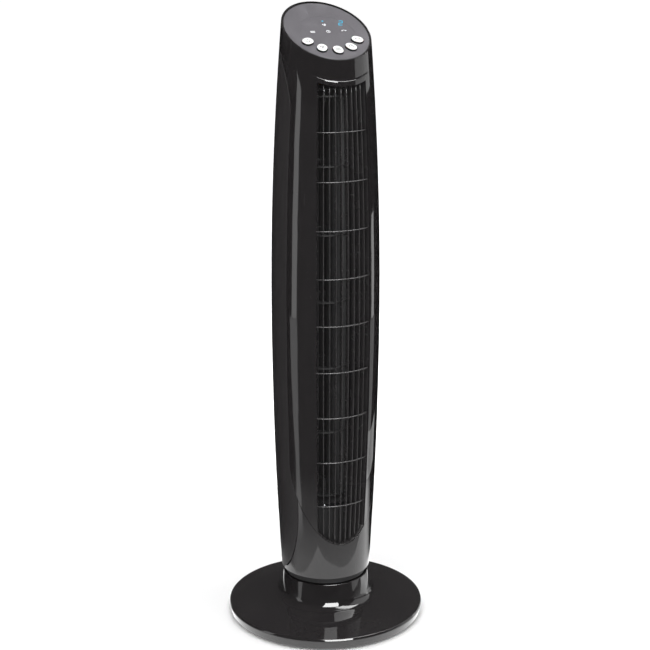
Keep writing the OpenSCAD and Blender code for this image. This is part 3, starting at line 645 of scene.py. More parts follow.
def marked_plastic(name, shade, rough, grain, dust, marks=0.5, grain_scale=1400.0, smudge=0.07,
                   **constants):
    """Moulded plastic with grain, smudges, scratches, rubbed edges and dust."""
    rubbed_lighter, rubbed_lift, dust_cover, dust_shade = 1.6, 0.01, 0.3, (0.30, 0.29, 0.27)
    scratch_rough, dust_rough = 0.22, 0.35
    finish, tree, shader = new_finish(name, **constants)
    hands = place_group(tree, handling_marks(), Scratches=marks)
    wear = place_group(tree, worn_edges(), Amount=0.6).outputs["Wear"]
    dirt = place_group(tree, settled_dust(), Amount=dust).outputs["Dust"]
    pale = tuple(min(1.0, c * rubbed_lighter + rubbed_lift) for c in shade)
    base = tint(tree, maths(tree, "MAXIMUM", wear, hands.outputs["Scratch"]), shade, pale)
    dulled = maths(tree, "MULTIPLY_ADD", hands.outputs["Smudge"], smudge, rough)
    scuffed = maths(tree, "MULTIPLY_ADD", hands.outputs["Scratch"], scratch_rough, dulled)
    feed(tree, shader,
         Base_Color=tint(tree, maths(tree, "MULTIPLY", dirt, dust_cover), base, dust_shade),
         Roughness=maths(tree, "MULTIPLY_ADD", dirt, dust_rough, scuffed))
    texture = place_group(tree, moulded_grain(), Scale=grain_scale).outputs["Height"]
    bump(tree, shader, texture, grain)
    return finish


@finish_once
def gloss_finish(colours):
    """Polished black plastic with a faint ripple from the mould."""
    finish = marked_plastic("Polished black plastic", colours.gloss, 0.02, 0.0, 0.22, 0.35,
                            smudge=0.02)
    tree = finish.node_tree
    shader = next(n for n in tree.nodes if n.type == "BSDF_PRINCIPLED")
    ripple, ripple_depth = noise(tree, own_place(tree), 24.0, 1.0), 0.00035
    fine = maths(tree, "MULTIPLY_ADD", noise(tree, own_place(tree), 420.0, 1.0), 0.004, ripple)
    bump(tree, shader, fine, ripple_depth)
    return finish


@finish_once
def satin_finish(colours):
    return marked_plastic("Satin black plastic", colours.satin, 0.42, 0.00006, 0.35,
                          Specular_IOR_Level=0.16)


@finish_once
def grille_finish(colours):
    # Painted light: the grille plastic glows faintly to lift its black.
    return marked_plastic("Grille plastic", colours.grille, 0.24, 0.00003, 0.35,
                          Emission_Color=PAINTED_GLOW_COLOUR, Emission_Strength=PAINTED_GLOW_LEVEL)


@finish_once
def inner_finish(colours):
    # Painted light: the inner plastic glows faintly to lift its black where shade falls inside the
    # tower.
    return marked_plastic("Inner black plastic", (0.020, 0.020, 0.021), 0.5, 0.00008, 0.6,
                          Specular_IOR_Level=0.2, Emission_Color=PAINTED_GLOW_COLOUR,
                          Emission_Strength=PAINTED_GLOW_LEVEL)


@finish_once
def wheel_finish(colours):
    # Painted light: the wheel plastic glows faintly to lift its black inside the tower.
    return marked_plastic("Wheel plastic", (0.018, 0.0185, 0.0195), 0.45, 0.00006, 0.9,
                          Emission_Color=PAINTED_GLOW_COLOUR, Emission_Strength=PAINTED_GLOW_LEVEL)


@finish_once
def rubber_finish(colours):
    return marked_plastic("Grey rubber", (0.055, 0.055, 0.058), 0.8, 0.00012, 0.5,
                          grain_scale=800.0)


@finish_once
def button_finish(colours):
    """White key plastic, a little yellowed where it is touched."""
    finish, tree, shader = new_finish("White key plastic", Subsurface_Weight=0.08,
                                      Subsurface_Scale=0.002)
    hands = place_group(tree, handling_marks(), Size=90.0, Scratches=0.5)
    touched = tuple(c * f for c, f in zip(colours.button, (0.97, 0.96, 0.93)))
    base = tint(tree, hands.outputs["Smudge"], colours.button, touched)
    scratched = maths(tree, "MULTIPLY", hands.outputs["Scratch"], 0.4)
    feed(tree, shader, Base_Color=tint(tree, scratched, base, (0.6, 0.6, 0.58)),
         Roughness=maths(tree, "MULTIPLY_ADD", hands.outputs["Smudge"], 0.12, 0.26))
    bump(tree, shader, place_group(tree, moulded_grain(), Scale=2200.0).outputs["Height"],
         0.00002)
    return finish


@finish_once
def film_finish(colours):
    """Metallic grey film with fine flakes."""
    finish, tree, shader = new_finish("Panel film", Metallic=0.25)
    place = own_place(tree)
    flakes = add(tree, "TexVoronoi", {"Vector": place, "Scale": 2600.0})
    spark = add(tree, "SeparateXYZ", {0: flakes.outputs["Color"]}).outputs["X"]
    cloud = noise(tree, place, 35.0, 3.0)
    mixed = maths(tree, "MULTIPLY_ADD", cloud, 0.35, maths(tree, "MULTIPLY", spark, 0.65))
    darker, lighter = (tuple(c * f for c in colours.film) for f in (0.84, 1.18))
    hands = place_group(tree, handling_marks(), Size=40.0, Scratches=0.6)
    rough = maths(tree, "MULTIPLY_ADD", hands.outputs["Smudge"], 0.12, 0.34)
    feed(tree, shader, Base_Color=tint(tree, mixed, darker, lighter),
         Roughness=maths(tree, "MULTIPLY_ADD", hands.outputs["Scratch"], 0.2, rough))
    bump(tree, shader, spark, 0.00002)
    return finish


def printed_finish(name, shade, glow=0.0):
    """Screen-printed ink with small pinholes, or a lit mark behind the film; a glow on ink is
    painted light.
    """
    finish, tree, shader = new_finish(name, Roughness=0.45)
    pits = spread(tree, noise(tree, own_place(tree), 3000.0, 2.0), 0.35, 0.6)
    base = tint(tree, pits, tuple(c * 0.82 for c in shade), shade)
    feed(tree, shader, Base_Color=base)
    bump(tree, shader, pits, 0.00001)
    if glow:
        feed(tree, shader, Emission_Color=base)
        shader.inputs["Emission Strength"].default_value = glow
    return finish


# Painted light: the white ink glows though it is only print.
@finish_once
def white_ink(colours):
    return printed_finish("White ink", (0.85, 0.85, 0.87), 0.5)


@finish_once
def grey_ink(colours):
    return printed_finish("Grey ink", (0.06, 0.06, 0.07))


@finish_once
def lit_mark(colours):
    return printed_finish("Lit cyan mark", colours.glow, 0.9)


def metal(name, shade, rough, brushed, spots=0.15, **constants):
    """Metal with drawn lines, tarnish and rubbed edges."""
    line_rough, dull_share, bright_share = 0.22, 0.45, 1.25
    finish, tree, shader = new_finish(name, Metallic=1.0, **constants)
    place = own_place(tree)
    lines = noise(tree, stretched(tree, place, brushed), 1.0, 3.0)
    tarnish = spread(tree, noise(tree, place, 70.0, 5.0), 0.45, 0.7, 0.0, spots)
    wear = place_group(tree, worn_edges(), Amount=0.7).outputs["Wear"]
    dull = tuple(c * dull_share for c in shade)
    bright = tuple(min(1, c * bright_share) for c in shade)
    streaks = maths(tree, "MULTIPLY_ADD", lines, line_rough, rough - 0.08)
    feed(tree, shader,
         Base_Color=tint(tree, wear, tint(tree, tarnish, shade, dull), bright),
         Roughness=maths(tree, "ADD", streaks, tarnish))
    bump(tree, shader, lines, 0.00002)
    return finish


@finish_once
def steel_finish(colours):
    return metal("Zinc-plated steel", (0.60, 0.61, 0.63), 0.32, (60.0, 60.0, 1500.0))


@finish_once
def shaft_finish(colours):
    return metal("Ground steel shaft", (0.62, 0.62, 0.63), 0.18, (90.0, 90.0, 2600.0), 0.08)


@finish_once
def bronze_finish(colours):
    return metal("Sintered bronze", (0.52, 0.34, 0.15), 0.42, (900.0, 900.0, 900.0), 0.4)


def two_tone(tree, shader, mask, shades, roughs, height, depth):
    """Two shades by a mask, each with its own roughness, over a relief."""
    feed(tree, shader, Base_Color=tint(tree, mask, *shades),
         Roughness=spread(tree, mask, 0.0, 1.0, *roughs))
    bump(tree, shader, height, depth)


@finish_once
def weight_finish(colours):
    """Cast iron ring under a thin rough paint."""
    finish, tree, shader = new_finish("Cast iron weight")
    place = own_place(tree)
    rust = spread(tree, noise(tree, place, 28.0, 6.0, 0.65), 0.56, 0.72)
    two_tone(tree, shader, rust, ((0.045, 0.045, 0.048), (0.13, 0.055, 0.028)), (0.55, 0.9),
             noise(tree, place, 520.0, 5.0, 0.7), 0.0004)
    return finish


@finish_once
def stator_finish(colours):
    """Stack of thin steel sheets, seen as fine level lines."""
    finish, tree, shader = new_finish("Stacked sheet steel", Metallic=0.85)
    height = add(tree, "SeparateXYZ", {0: own_place(tree)}).outputs["Z"]
    sheets = maths(tree, "PINGPONG", height, 0.0005)
    line = spread(tree, sheets, 0.00005, 0.00015)
    cloud = noise(tree, own_place(tree), 140.0)
    feed(tree, shader, Base_Color=tint(tree, line, (0.05, 0.045, 0.04), (0.33, 0.33, 0.34)),
         Roughness=spread(tree, cloud, 0.3, 0.7, 0.35, 0.6))
    bump(tree, shader, line, 0.0001)
    return finish


@finish_once
def copper_finish(colours):
    """Enamelled winding wire, turn beside turn."""
    finish, tree, shader = new_finish("Enamelled copper wire", Metallic=0.9)
    place = own_place(tree)
    turns = add(tree, "TexWave", {"Vector": place, "Scale": 420.0, "Distortion": 2.5,
                                  "Detail": 2.0},
                wave_type="RINGS", rings_direction="Z").outputs["Fac"]
    feed(tree, shader, Base_Color=tint(tree, turns, (0.20, 0.05, 0.015), (0.70, 0.27, 0.09)),
         Roughness=spread(tree, noise(tree, place, 60.0), 0.3, 0.7, 0.22, 0.42))
    bump(tree, shader, turns, 0.0002)
    return finish


@finish_once
def nylon_finish(colours):
    """Natural nylon with a film of grease."""
    finish, tree, shader = new_finish("Natural nylon", Subsurface_Weight=0.15,
                                      Subsurface_Scale=0.003)
    grease = spread(tree, noise(tree, own_place(tree), 55.0, 4.0, 0.6, 1.0), 0.5, 0.68)
    two_tone(tree, shader, grease, ((0.78, 0.76, 0.70), (0.62, 0.56, 0.42)), (0.42, 0.16),
             place_group(tree, moulded_grain(), Scale=1800.0).outputs["Height"], 0.00003)
    return finish


@finish_once
def board_finish(colours):
    """Green circuit board with tracks and pads under the lacquer."""
    finish, tree, shader = new_finish("Circuit board", Coat_Weight=0.4)
    place = own_place(tree)
    grid = add(tree, "TexBrick", {"Vector": place, "Scale": 130.0, "Mortar Size": 0.018},
               offset=0.37)
    tracks = maths(tree, "MULTIPLY", grid.outputs["Fac"],
                   spread(tree, noise(tree, place, 45.0, 1.0), 0.42, 0.5))
    pads = add(tree, "TexVoronoi", {"Vector": place, "Scale": 210.0})
    dots = spread(tree, pads.outputs["Distance"], 0.16, 0.12)
    green = tint(tree, tracks, (0.012, 0.075, 0.028), (0.03, 0.16, 0.06))
    two_tone(tree, shader, dots, (green, (0.55, 0.54, 0.5)), (0.42, 0.25),
             maths(tree, "MAXIMUM", tracks, dots), 0.00005)
    return finish


@finish_once
def cable_finish(colours):
    """Bundle of sleeved wires with a slight twist."""
    finish, tree, shader = new_finish("Cable sleeve")
    twist = add(tree, "TexWave", {"Vector": own_place(tree), "Scale": 90.0, "Distortion": 1.0},
                bands_direction="DIAGONAL").outputs["Fac"]
    two_tone(tree, shader, twist, ((0.02, 0.02, 0.022), (0.07, 0.07, 0.075)), (0.6, 0.42),
             twist, 0.0003)
    return finish


@finish_once
def display_finish(colours):
    """Moulded display block with a slightly cloudy face."""
    finish, tree, shader = new_finish("Display block")
    cloud = spread(tree, noise(tree, own_place(tree), 200.0), 0.4, 0.6)
    two_tone(tree, shader, cloud, ((0.60, 0.60, 0.62), (0.72, 0.72, 0.74)), (0.3, 0.4),
             cloud, 0.00003)
    return finish


# ---------- pieces ----------

class FanOperator:
    """What the tower fan's operators share."""

    bl_options = {"REGISTER", "UNDO"}

    @property
    def tower(self):
        return bpy.context.scene.fan_tower

    @property
    def grille(self):
        return bpy.context.scene.fan_grille

    @property
    def head(self):
        return bpy.context.scene.fan_head


class FAN_OT_base_dish(FanOperator, bpy.types.Operator):
    """Adds the polished base with its rim, its shallow dish and its flared hub"""

    bl_idname = "fan.base_dish"
    bl_label = "Base dish"

    flare_steps = 28
    dish_steps = 12
    crown = 0.6 * MM             # how much the dish swells between its rim and the flare
    rim_round = 3.2 * MM
    lip = 1.6 * MM               # width and rounding of the rim's upper edge
    hub_round = 1.3 * MM

    def half_section(self, base, inset):
        """From the rim's lower edge to the hub's bore, moved inwards by an inset."""
        rim_r, hub_r, top_z = base.base_r - inset, base.hub_r - inset, base.hub_z - inset
        flare, draft = base.flare_r + inset, base.draft
        middle_z = base.rim_top + base.dish_rise - inset + flare
        middle_r = hub_r + (flare + (base.hub_z - middle_z) * math.sin(draft)) / math.cos(draft)
        dish_slope = math.atan(base.dish_rise / (rim_r - middle_r))
        arc = []
        for k in range(self.flare_steps + 1):
            a = draft + (math.pi / 2 - dish_slope - draft) * k / self.flare_steps
            arc.append((middle_r - flare * math.cos(a), middle_z - flare * math.sin(a)))
        rim = filleted([(rim_r - base.rim_in, base.foot_gap, 0),
                        (rim_r, base.rim_z, self.rim_round),
                        (rim_r - self.lip, base.rim_top - 0.2 * MM - inset * 0.7, self.lip),
                        (arc[-1][0], arc[-1][1], 0)], 8)
        start, end = rim[-2], arc[-1]
        dish = []
        for k in range(1, self.dish_steps):
            t = k / self.dish_steps
            swell = self.crown * math.sin(math.pi * t)
            dish.append((start[0] + (end[0] - start[0]) * t,
                         start[1] + (end[1] - start[1]) * t + swell))
        top = filleted([(arc[0][0], arc[0][1], 0), (hub_r + 0.1 * MM, top_z, self.hub_round),
                        (base.hub_bore, top_z, 0)], 8)
        return rim[:-1] + dish + arc[::-1] + top[1:]

    def execute(self, context):
        base = context.scene.fan_base
        section = self.half_section(base, 0.0) + self.half_section(base, base.wall)[::-1]
        dish = lathe("base_dish_moulding", section, 256)
        low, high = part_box("cord_gland")
        flange, depth, lead = 1.2 * MM, 30 * MM, 2 * MM
        reach = (high.z - low.z) / 2 - flange
        gland = [(0, 0), (reach, 0), (reach, depth), (0, depth)]
        cutter = lathe("gland_hole", gland, 48)
        cutter.data.transform(Matrix.Translation((0, low.y + lead, (low.z + high.z) / 2))
                              @ Matrix.Rotation(-math.pi / 2, 4, "X"))
        carve(dish, cutter)
        dish.data.set_sharp_from_angle(angle=CRISP)
        settle(dish, "base", gloss_finish(), ["base_dish"])
        return {"FINISHED"}


class FAN_OT_chin_cover(FanOperator, bpy.types.Operator):
    """Adds the polished chin between the base and the front cover's rounded end"""

    bl_idname = "fan.chin_cover"
    bl_label = "Chin cover"

    def execute(self, context):
        tower = self.tower
        gap, columns, rows = tower.seam / 2, 48, 28
        under_lobe = gap * 1.6       # the gap measured upwards, where the seam runs aslant
        grid = []
        for j in range(columns + 1):
            share = -math.cos(math.pi * j / columns)
            top = tower.foot_z
            for _ in range(30):
                x = share * (tower.chin_half(top) - gap)
                top += (tower.lobe_bottom(x) - under_lobe - top) * 0.5
            column = []
            for i in range(rows + 1):
                z = tower.foot_z + (top - tower.foot_z) * i / rows
                half = min(tower.chin_half(z) - gap, tower.radius(z))
                column.append(on_tower(tower, math.asin(share * half / tower.radius(z)), z))
            grid.append(column)
        points = [p for column in grid for p in column]
        chin = weld(new_object("chin_cover_moulding", points,
                               grid_faces(columns + 1, rows + 1)))
        soften(thicken(chin, tower.wall), tower.edge)
        settle(chin, "tower", gloss_finish(), ["chin_cover"])
        return {"FINISHED"}


class FAN_OT_front_cover(FanOperator, bpy.types.Operator):
    """Adds the polished front cover: head band, rim and the borders beside the grille"""

    bl_idname = "fan.front_cover"
    bl_label = "Front cover"

    border_columns = 10
    border_rows = 96
    front_columns = 40
    back_columns = 60
    line_at, line_half, line_depth = 7.0 * MM, 0.9 * MM, 0.55 * MM

    def border(self, side):
        """Strip beside the window, from its pointed lower tip to the head."""
        tower, window = self.tower, self.grille.window
        tip = tower.window_tip(window)
        rows = []
        for j in range(self.border_columns + 1):
            share = j / self.border_columns
            end = tower.panel_z - tower.band_h
            for _ in range(40):
                turn = window + (self.outer_turn(end) - window) * share
                end = tower.slant_at(tower.band_h, turn)
            column = []
            for i in range(self.border_rows + 1):
                z = tip + (end - tip) * (i / self.border_rows) ** 1.4
                turn = window + max(0.0, self.outer_turn(z) - window) * share
                column.append((side * turn, z))
            rows.append(column)
        return rows

    def outer_turn(self, z):
        """Angle of the cover's outer edge."""
        tower = self.tower
        half = tower.cover_half(z) - tower.seam / 2
        if z >= tower.panel_z - tower.band_h:
            return math.pi / 2
        return math.asin(min(1.0, max(0.0, half / tower.radius(z))))

    def band_inset(self, turn, drop):
        """Depth of the fine line above the window's top edge."""
        if abs(turn) > self.grille.window + 0.06:
            return 0.0
        return self.line_depth * max(0.0, 1 - abs(drop - self.line_at) / self.line_half)

    def execute(self, context):
        tower = self.tower
        points, faces = [], []
        tops = {}
        for side in (-1, 1):
            rows = self.border(side)
            start = len(points)
            points += [on_tower(tower, turn, z) for column in rows for turn, z in column]
            faces += grid_faces(len(rows), len(rows[0]), start)
            tops[side] = [column[-1][0] for column in rows]
        window = self.grille.window
        across, behind = self.front_columns, self.back_columns
        front = [-window + 2 * window * k / across for k in range(1, across)]
        back = [math.pi / 2 + math.pi * k / behind for k in range(1, behind)]
        around = tops[-1][::-1] + front + tops[1] + back
        heights = [0, 2, 4, 6.1, 6.6, 7, 7.4, 7.9, 10, 14, 19, 24, 29, 32,
                   tower.band_h / MM - 0.1]
        start = len(points)
        for height in heights:
            drop = tower.band_h - height * MM
            for turn in around:
                inset = self.band_inset(turn, height * MM)
                points.append(on_tower(tower, turn, tower.slant_at(drop, turn), inset))
        faces += grid_faces(len(heights), len(around), start, closed=True)
        cover = weld(new_object("front_cover_moulding", points, faces), 2e-5)
        soften(thicken(cover, tower.wall), tower.edge, 3)
        settle(cover, "tower", gloss_finish(), ["front_cover"])
        return {"FINISHED"}


class FAN_OT_rear_shell(FanOperator, bpy.types.Operator):
    """Adds the satin rear shell with its rows of intake slots and the ribs behind them"""

    bl_idname = "fan.rear_shell"
    bl_label = "Rear shell"

    side_columns = 12
    vent_columns = 20
    low_rows = 8                 # mesh rows below the slotted area
    crown_rows = 9               # mesh rows above it
    margin = 6 * MM              # closed wall below the lowest slot
    least_open, least_half = 12 * MM, 14 * MM

    def levels(self):
        """Heights of the mesh rows, and for each row whether a slot lies above it."""
        tower, grille = self.tower, self.grille
        low = grille.vent_low - grille.vent_low_h + grille.slot_pitch
        high = grille.vent_high + grille.vent_high_h
        slots = math.floor((high - low + grille.slot_pitch) / grille.slot_pitch) - 1
        rows = [(tower.foot_z + (low - self.margin - tower.foot_z) * k / self.low_rows, False)
                for k in range(self.low_rows + 1)]
        for k in range(slots):
            z = low + k * grille.slot_pitch
            open_here = grille.vent_at(z) > self.least_open
            rows += [(z - grille.slot_h / 2, open_here), (z + grille.slot_h / 2, False)]
        return rows

    def execute(self, context):
        tower = self.tower
        rows = self.levels()
        last_z = rows[-1][0]
        crown_rows = self.crown_rows
        points, faces = [], []
        columns = 2 * self.side_columns + self.vent_columns + 1
        for i in range(len(rows) + crown_rows):
            for j in range(columns):
                z = rows[min(i, len(rows) - 1)][0]
                turn = self.turn_at(z, j)
                if i >= len(rows):
                    share = (i - len(rows) + 1) / crown_rows
                    for _ in range(10):
                        turn = self.turn_at(z, j)
                        top = tower.slant_at(tower.band_h + tower.seam, turn)
                        z = last_z + (top - last_z) * share
                points.append(on_tower(tower, turn, z))
        for i in range(len(rows) + crown_rows - 1):
            slot = i < len(rows) and rows[i][1]
            for j in range(columns - 1):
                vented = self.side_columns <= j < self.side_columns + self.vent_columns
                if not (slot and vented):
                    a = i * columns + j
                    faces.append((a, a + 1, a + 1 + columns, a + columns))
        shell = weld(new_object("rear_shell_moulding", points, faces))
        soften(thicken(shell, tower.wall), tower.edge * 0.7, 2)
        settle(shell, "tower", satin_finish(), ["rear_shell"])
        self.ribs(rows[self.low_rows + 1][0], last_z)
        return {"FINISHED"}

    def turn_at(self, z, j):
        """Angle of a mesh column: the seam, then the slotted area, then the other seam."""
        tower, grille = self.tower, self.grille
        edge = tower.rear_edge(min(z, tower.panel_z - tower.band_h - 1e-4))
        if z >= tower.panel_z - tower.band_h:
            edge = math.pi / 2
        half = max(grille.vent_at(z), self.least_half)
        if j < self.side_columns or j > self.side_columns + self.vent_columns:
            near = j if j < self.side_columns else columns_after(self, j)
            vent = math.pi - math.asin(half / tower.radius(z))
            turn = edge + (vent - edge) * near / self.side_columns
            return turn if j < self.side_columns else 2 * math.pi - turn
        share = 1 - 2 * (j - self.side_columns) / self.vent_columns
        return math.pi - math.asin(half * share / tower.radius(z))

    def ribs(self, low, high):
        """Upright ribs inside the slotted wall."""
        tower = self.tower
        points, faces = [], []
        steps, thick, depth, pitch = 40, 2.4 * MM, 2.5 * MM, 24 * MM
        for x in (pitch * i for i in range(-2, 3)):
            start = len(points)
            for k in range(steps + 1):
                z = low + (high - low) * k / steps
                for dx, inset in ((-1, 0), (1, 0), (1, depth), (-1, depth)):
                    side = x + dx * thick / 2
                    reach = tower.radius(z) - tower.wall + 0.2 * MM - inset
                    points.append((side, math.sqrt(reach ** 2 - side ** 2), z))
            for k in range(steps):
                a = start + 4 * k
                for m in range(4):
                    faces.append((a + m, a + (m + 1) % 4, a + 4 + (m + 1) % 4, a + 4 + m))
            end = start + 4 * steps
            faces += [(start, start + 3, start + 2, start + 1), (end, end + 1, end + 2, end + 3)]
        ribs = weld(new_object("rear_shell_ribs", points, faces))
        soften(ribs, 0.3 * MM)
        settle(ribs, "tower", satin_finish())


def columns_after(shell, j):
    """Counts a column from the other seam."""
    return 2 * shell.side_columns + shell.vent_columns - j


class FAN_OT_grille(FanOperator, bpy.types.Operator):
    """Adds the upright fins, the thin hoops across them and the frame round them"""

    bl_idname = "fan.grille"
    bl_label = "Front grille"

    fin_gap = 0.5 * MM           # from the hoops' fronts back to the fins' noses
    fin_middle = 5 * MM          # from the hoops' fronts back to the middle of a fin

    def fin_section(self):
        """A fin seen from above: depth behind its nose, and half thickness there."""
        grille = self.grille
        depth, half = grille.fin_depth, grille.fin_t / 2
        nose = [(half * (1 - math.cos(a)), half * math.sin(a))
                for a in [math.pi / 2 * k / 4 for k in range(5)]]
        tail = [(depth - 0.3 * MM, half * 0.72), (depth, half * 0.45)]
        right = nose + tail
        return right + [(d, -w) for d, w in right[:0:-1]]

    def execute(self, context):
        self.fins()
        self.hoops()
        self.frame_round()
        return {"FINISHED"}

    def fins(self):
        tower, grille = self.tower, self.grille
        points, faces = [], []
        section, steps = self.fin_section(), 56
        size = len(section)
        for i in range(1, grille.fins + 1):
            turn = -grille.window + 2 * grille.window * i / (grille.fins + 1)
            out = Vector((math.sin(turn), -math.cos(turn)))
            side = Vector((math.cos(turn), math.sin(turn)))
            middle = tower.radius(tower.lobe_z) - grille.set_back - self.fin_middle
            low = tower.lobe_bottom(middle * math.sin(turn)) - grille.frame_t / 2
            high = tower.slant_at(tower.band_h - 0.5 * MM, turn, grille.set_back)
            start = len(points)
            for k in range(steps + 1):
                z = low + (high - low) * k / steps
                nose = tower.radius(z) - grille.set_back - self.fin_gap
                for depth, offset in section:
                    spot = out * (nose - depth) + side * offset
                    points.append((spot.x, spot.y, z))
            faces += grid_faces(steps + 1, size, start, closed=True)
            faces += end_faces(start, start + size * steps, size)
        fins = weld(new_object("grille_fins", points, faces))
        even_normals(fins)
        settle(fins, "tower", grille_finish(), ["front_grille"])

    def hoops(self):
        """Thin arcs with a rounded front, from one side of the frame to the other."""
        tower, grille = self.tower, self.grille
        points, faces = [], []
        steps, nose = 44, 8
        for i in range(grille.hoops):
            z = grille.hoop_low + i * grille.hoop_pitch
            outer = tower.radius(z) - grille.set_back
            half = math.asin((tower.radius(z) * math.sin(grille.window) + 0.8 * MM)
                             / (outer - grille.hoop_w))
            r, section = grille.hoop_t / 2, []
            for k in range(nose + 1):
                a = -math.pi / 2 + math.pi * k / nose
                section.append((outer - r + r * math.cos(a), z + r * math.sin(a)))
            section += [(outer - grille.hoop_w, z + r), (outer - grille.hoop_w, z - r)]
            start, size = len(points), len(section)
            for k in range(steps + 1):
                turn = -half + 2 * half * k / steps
                points += [(radius * math.sin(turn), -radius * math.cos(turn), level)
                           for radius, level in section]
            faces += grid_faces(steps + 1, size, start, closed=True)
            faces += end_faces(start, start + size * steps, size)
        hoops = weld(new_object("grille_hoops", points, faces))
        even_normals(hoops)
        settle(hoops, "tower", grille_finish())

    def frame_round(self):
        """Thin wall round the window: up one side, over the top, down and round the lobe."""
        tower, grille = self.tower, self.grille
        window = grille.window
        tip = tower.window_tip(window)
        path, steps, across, layers = [], 70, 40, 4
        top = tower.slant_at(tower.band_h, window, grille.set_back)
        path += [(window, tip + (top - tip) * k / steps) for k in range(steps)]
        for k in range(across + 1):
            turn = window - 2 * window * k / across
            path.append((turn, tower.slant_at(tower.band_h, turn, grille.set_back)))
        path += [(-window, top + (tip - top) * k / steps) for k in range(1, steps)]
        for k in range(across + 1):
            turn = -window + 2 * window * k / across
            path.append((turn, tower.lobe_bottom(tower.radius(tip) * math.sin(turn))))
        depth = grille.fin_depth + self.fin_gap
        insets = [grille.set_back + depth * k / layers for k in range(layers + 1)]
        points = [on_tower(tower, turn, z, inset) for turn, z in path for inset in insets]
        frame_wall = weld(new_object("grille_frame", points,
                                     self.loop_faces(len(path), len(insets))))
        solid = frame_wall.modifiers.new("Wall", "SOLIDIFY")
        solid.thickness = grille.frame_t
        solid.offset = 1.0
        soften(frame_wall, 0.3 * MM)
        settle(frame_wall, "tower", grille_finish())
        self.backing()

    def backing(self):
        """Closed wall behind the fins below the blower."""
        tower, grille = self.tower, self.grille
        depth = grille.set_back + grille.fin_depth + self.fin_gap
        top, rows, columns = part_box("duct_bottom_plate")[1].z, 24, 28
        overlap, wall_t = 0.02, 1.2 * MM
        half = grille.window + overlap
        points = []
        for i in range(rows + 1):
            for j in range(columns + 1):
                turn = -half + 2 * half * j / columns
                low = tower.lobe_bottom((tower.radius(tower.foot_z) - depth) * math.sin(turn))
                z = low - grille.frame_t / 2 + (top - low + grille.frame_t / 2) * i / rows
                points.append(on_tower(tower, turn, z, depth))
        wall = weld(new_object("grille_backing", points, grid_faces(rows + 1, columns + 1)))
        soften(thicken(wall, wall_t), 0.2 * MM)
        settle(wall, "tower", inner_finish())

    def loop_faces(self, rows, columns):
        faces = grid_faces(rows, columns)
        end = (rows - 1) * columns
        faces += [(end + j, end + j + 1, j + 1, j) for j in range(columns - 1)]
        return faces


class FAN_OT_blower(FanOperator, bpy.types.Operator):
    """Adds the cross-flow wheel with rings of leaning, curved blades"""

    bl_idname = "fan.blower"
    bl_label = "Blower wheel"

    bow_r = 8 * MM               # radius of a blade's curve
    blade_in = 5.1 * MM          # from the wheel's rim to the middle of a blade
    sweep_start, sweep, sweep_steps = 231, 72, 8
    disc_t, ring_w, shaft_r = 2 * MM, 11 * MM, 4 * MM
    collar_r, low_collar, high_collar = 9 * MM, 16 * MM, 12 * MM
    round_steps = 96

    def blade(self, grille, radius):
        """A curved blade seen from above."""
        sweep = [math.radians(self.sweep_start + self.sweep * k / self.sweep_steps)
                 for k in range(self.sweep_steps + 1)]
        rise, inner = self.bow_r * 0.8, self.bow_r - grille.blade_t
        outline = [(self.bow_r * math.cos(a), rise + self.bow_r * math.sin(a)) for a in sweep]
        outline += [(inner * math.cos(a), rise + inner * math.sin(a)) for a in reversed(sweep)]
        middle, lean = Vector((radius - self.blade_in, 0.0)), Matrix.Rotation(grille.blade_lean, 2)
        return [middle + lean @ Vector(p) for p in outline]

    def execute(self, context):
        grille = self.grille
        low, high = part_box("blower_wheel")
        middle = ((low.x + high.x) / 2, (low.y + high.y) / 2)
        radius, disc, shaft = (high.x - low.x) / 2, self.disc_t, self.shaft_r
        inner, collar_r, steps = radius - self.ring_w, self.collar_r, self.round_steps
        points, faces = [], []
        step = (high.z - low.z - disc) / grille.stages
        for i in range(1, grille.stages):
            z = low.z + i * step
            ring = [(inner, z), (radius, z), (radius, z + disc), (inner, z + disc)]
            add_turned(points, faces, ring, steps, middle)
        for end, way, collar in ((low.z, 1, self.low_collar), (high.z, -1, self.high_collar)):
            section = [(shaft, 0), (radius, 0), (radius, disc), (collar_r, disc),
                       (collar_r, collar), (shaft, collar)]
            add_turned(points, faces, [(r, end + way * z) for r, z in section], steps, middle)
        blade = self.blade(grille, radius)
        size = len(blade)
        for k in range(grille.blades):
            turn = Matrix.Rotation(2 * math.pi * k / grille.blades, 2)
            start = len(points)
            for z in (low.z + disc / 2, high.z - disc / 2):
                points += [(middle[0] + p.x, middle[1] + p.y, z)
                           for p in (turn @ q for q in blade)]
            faces += grid_faces(2, size, start, closed=True)
            faces += end_faces(start, start + size, size)
        wheel = weld(new_object("blower_wheel_blades", points, faces))
        wheel.data.set_sharp_from_angle(angle=CRISP)
        settle(wheel, "blower", wheel_finish(), ["blower_wheel"])
        return {"FINISHED"}


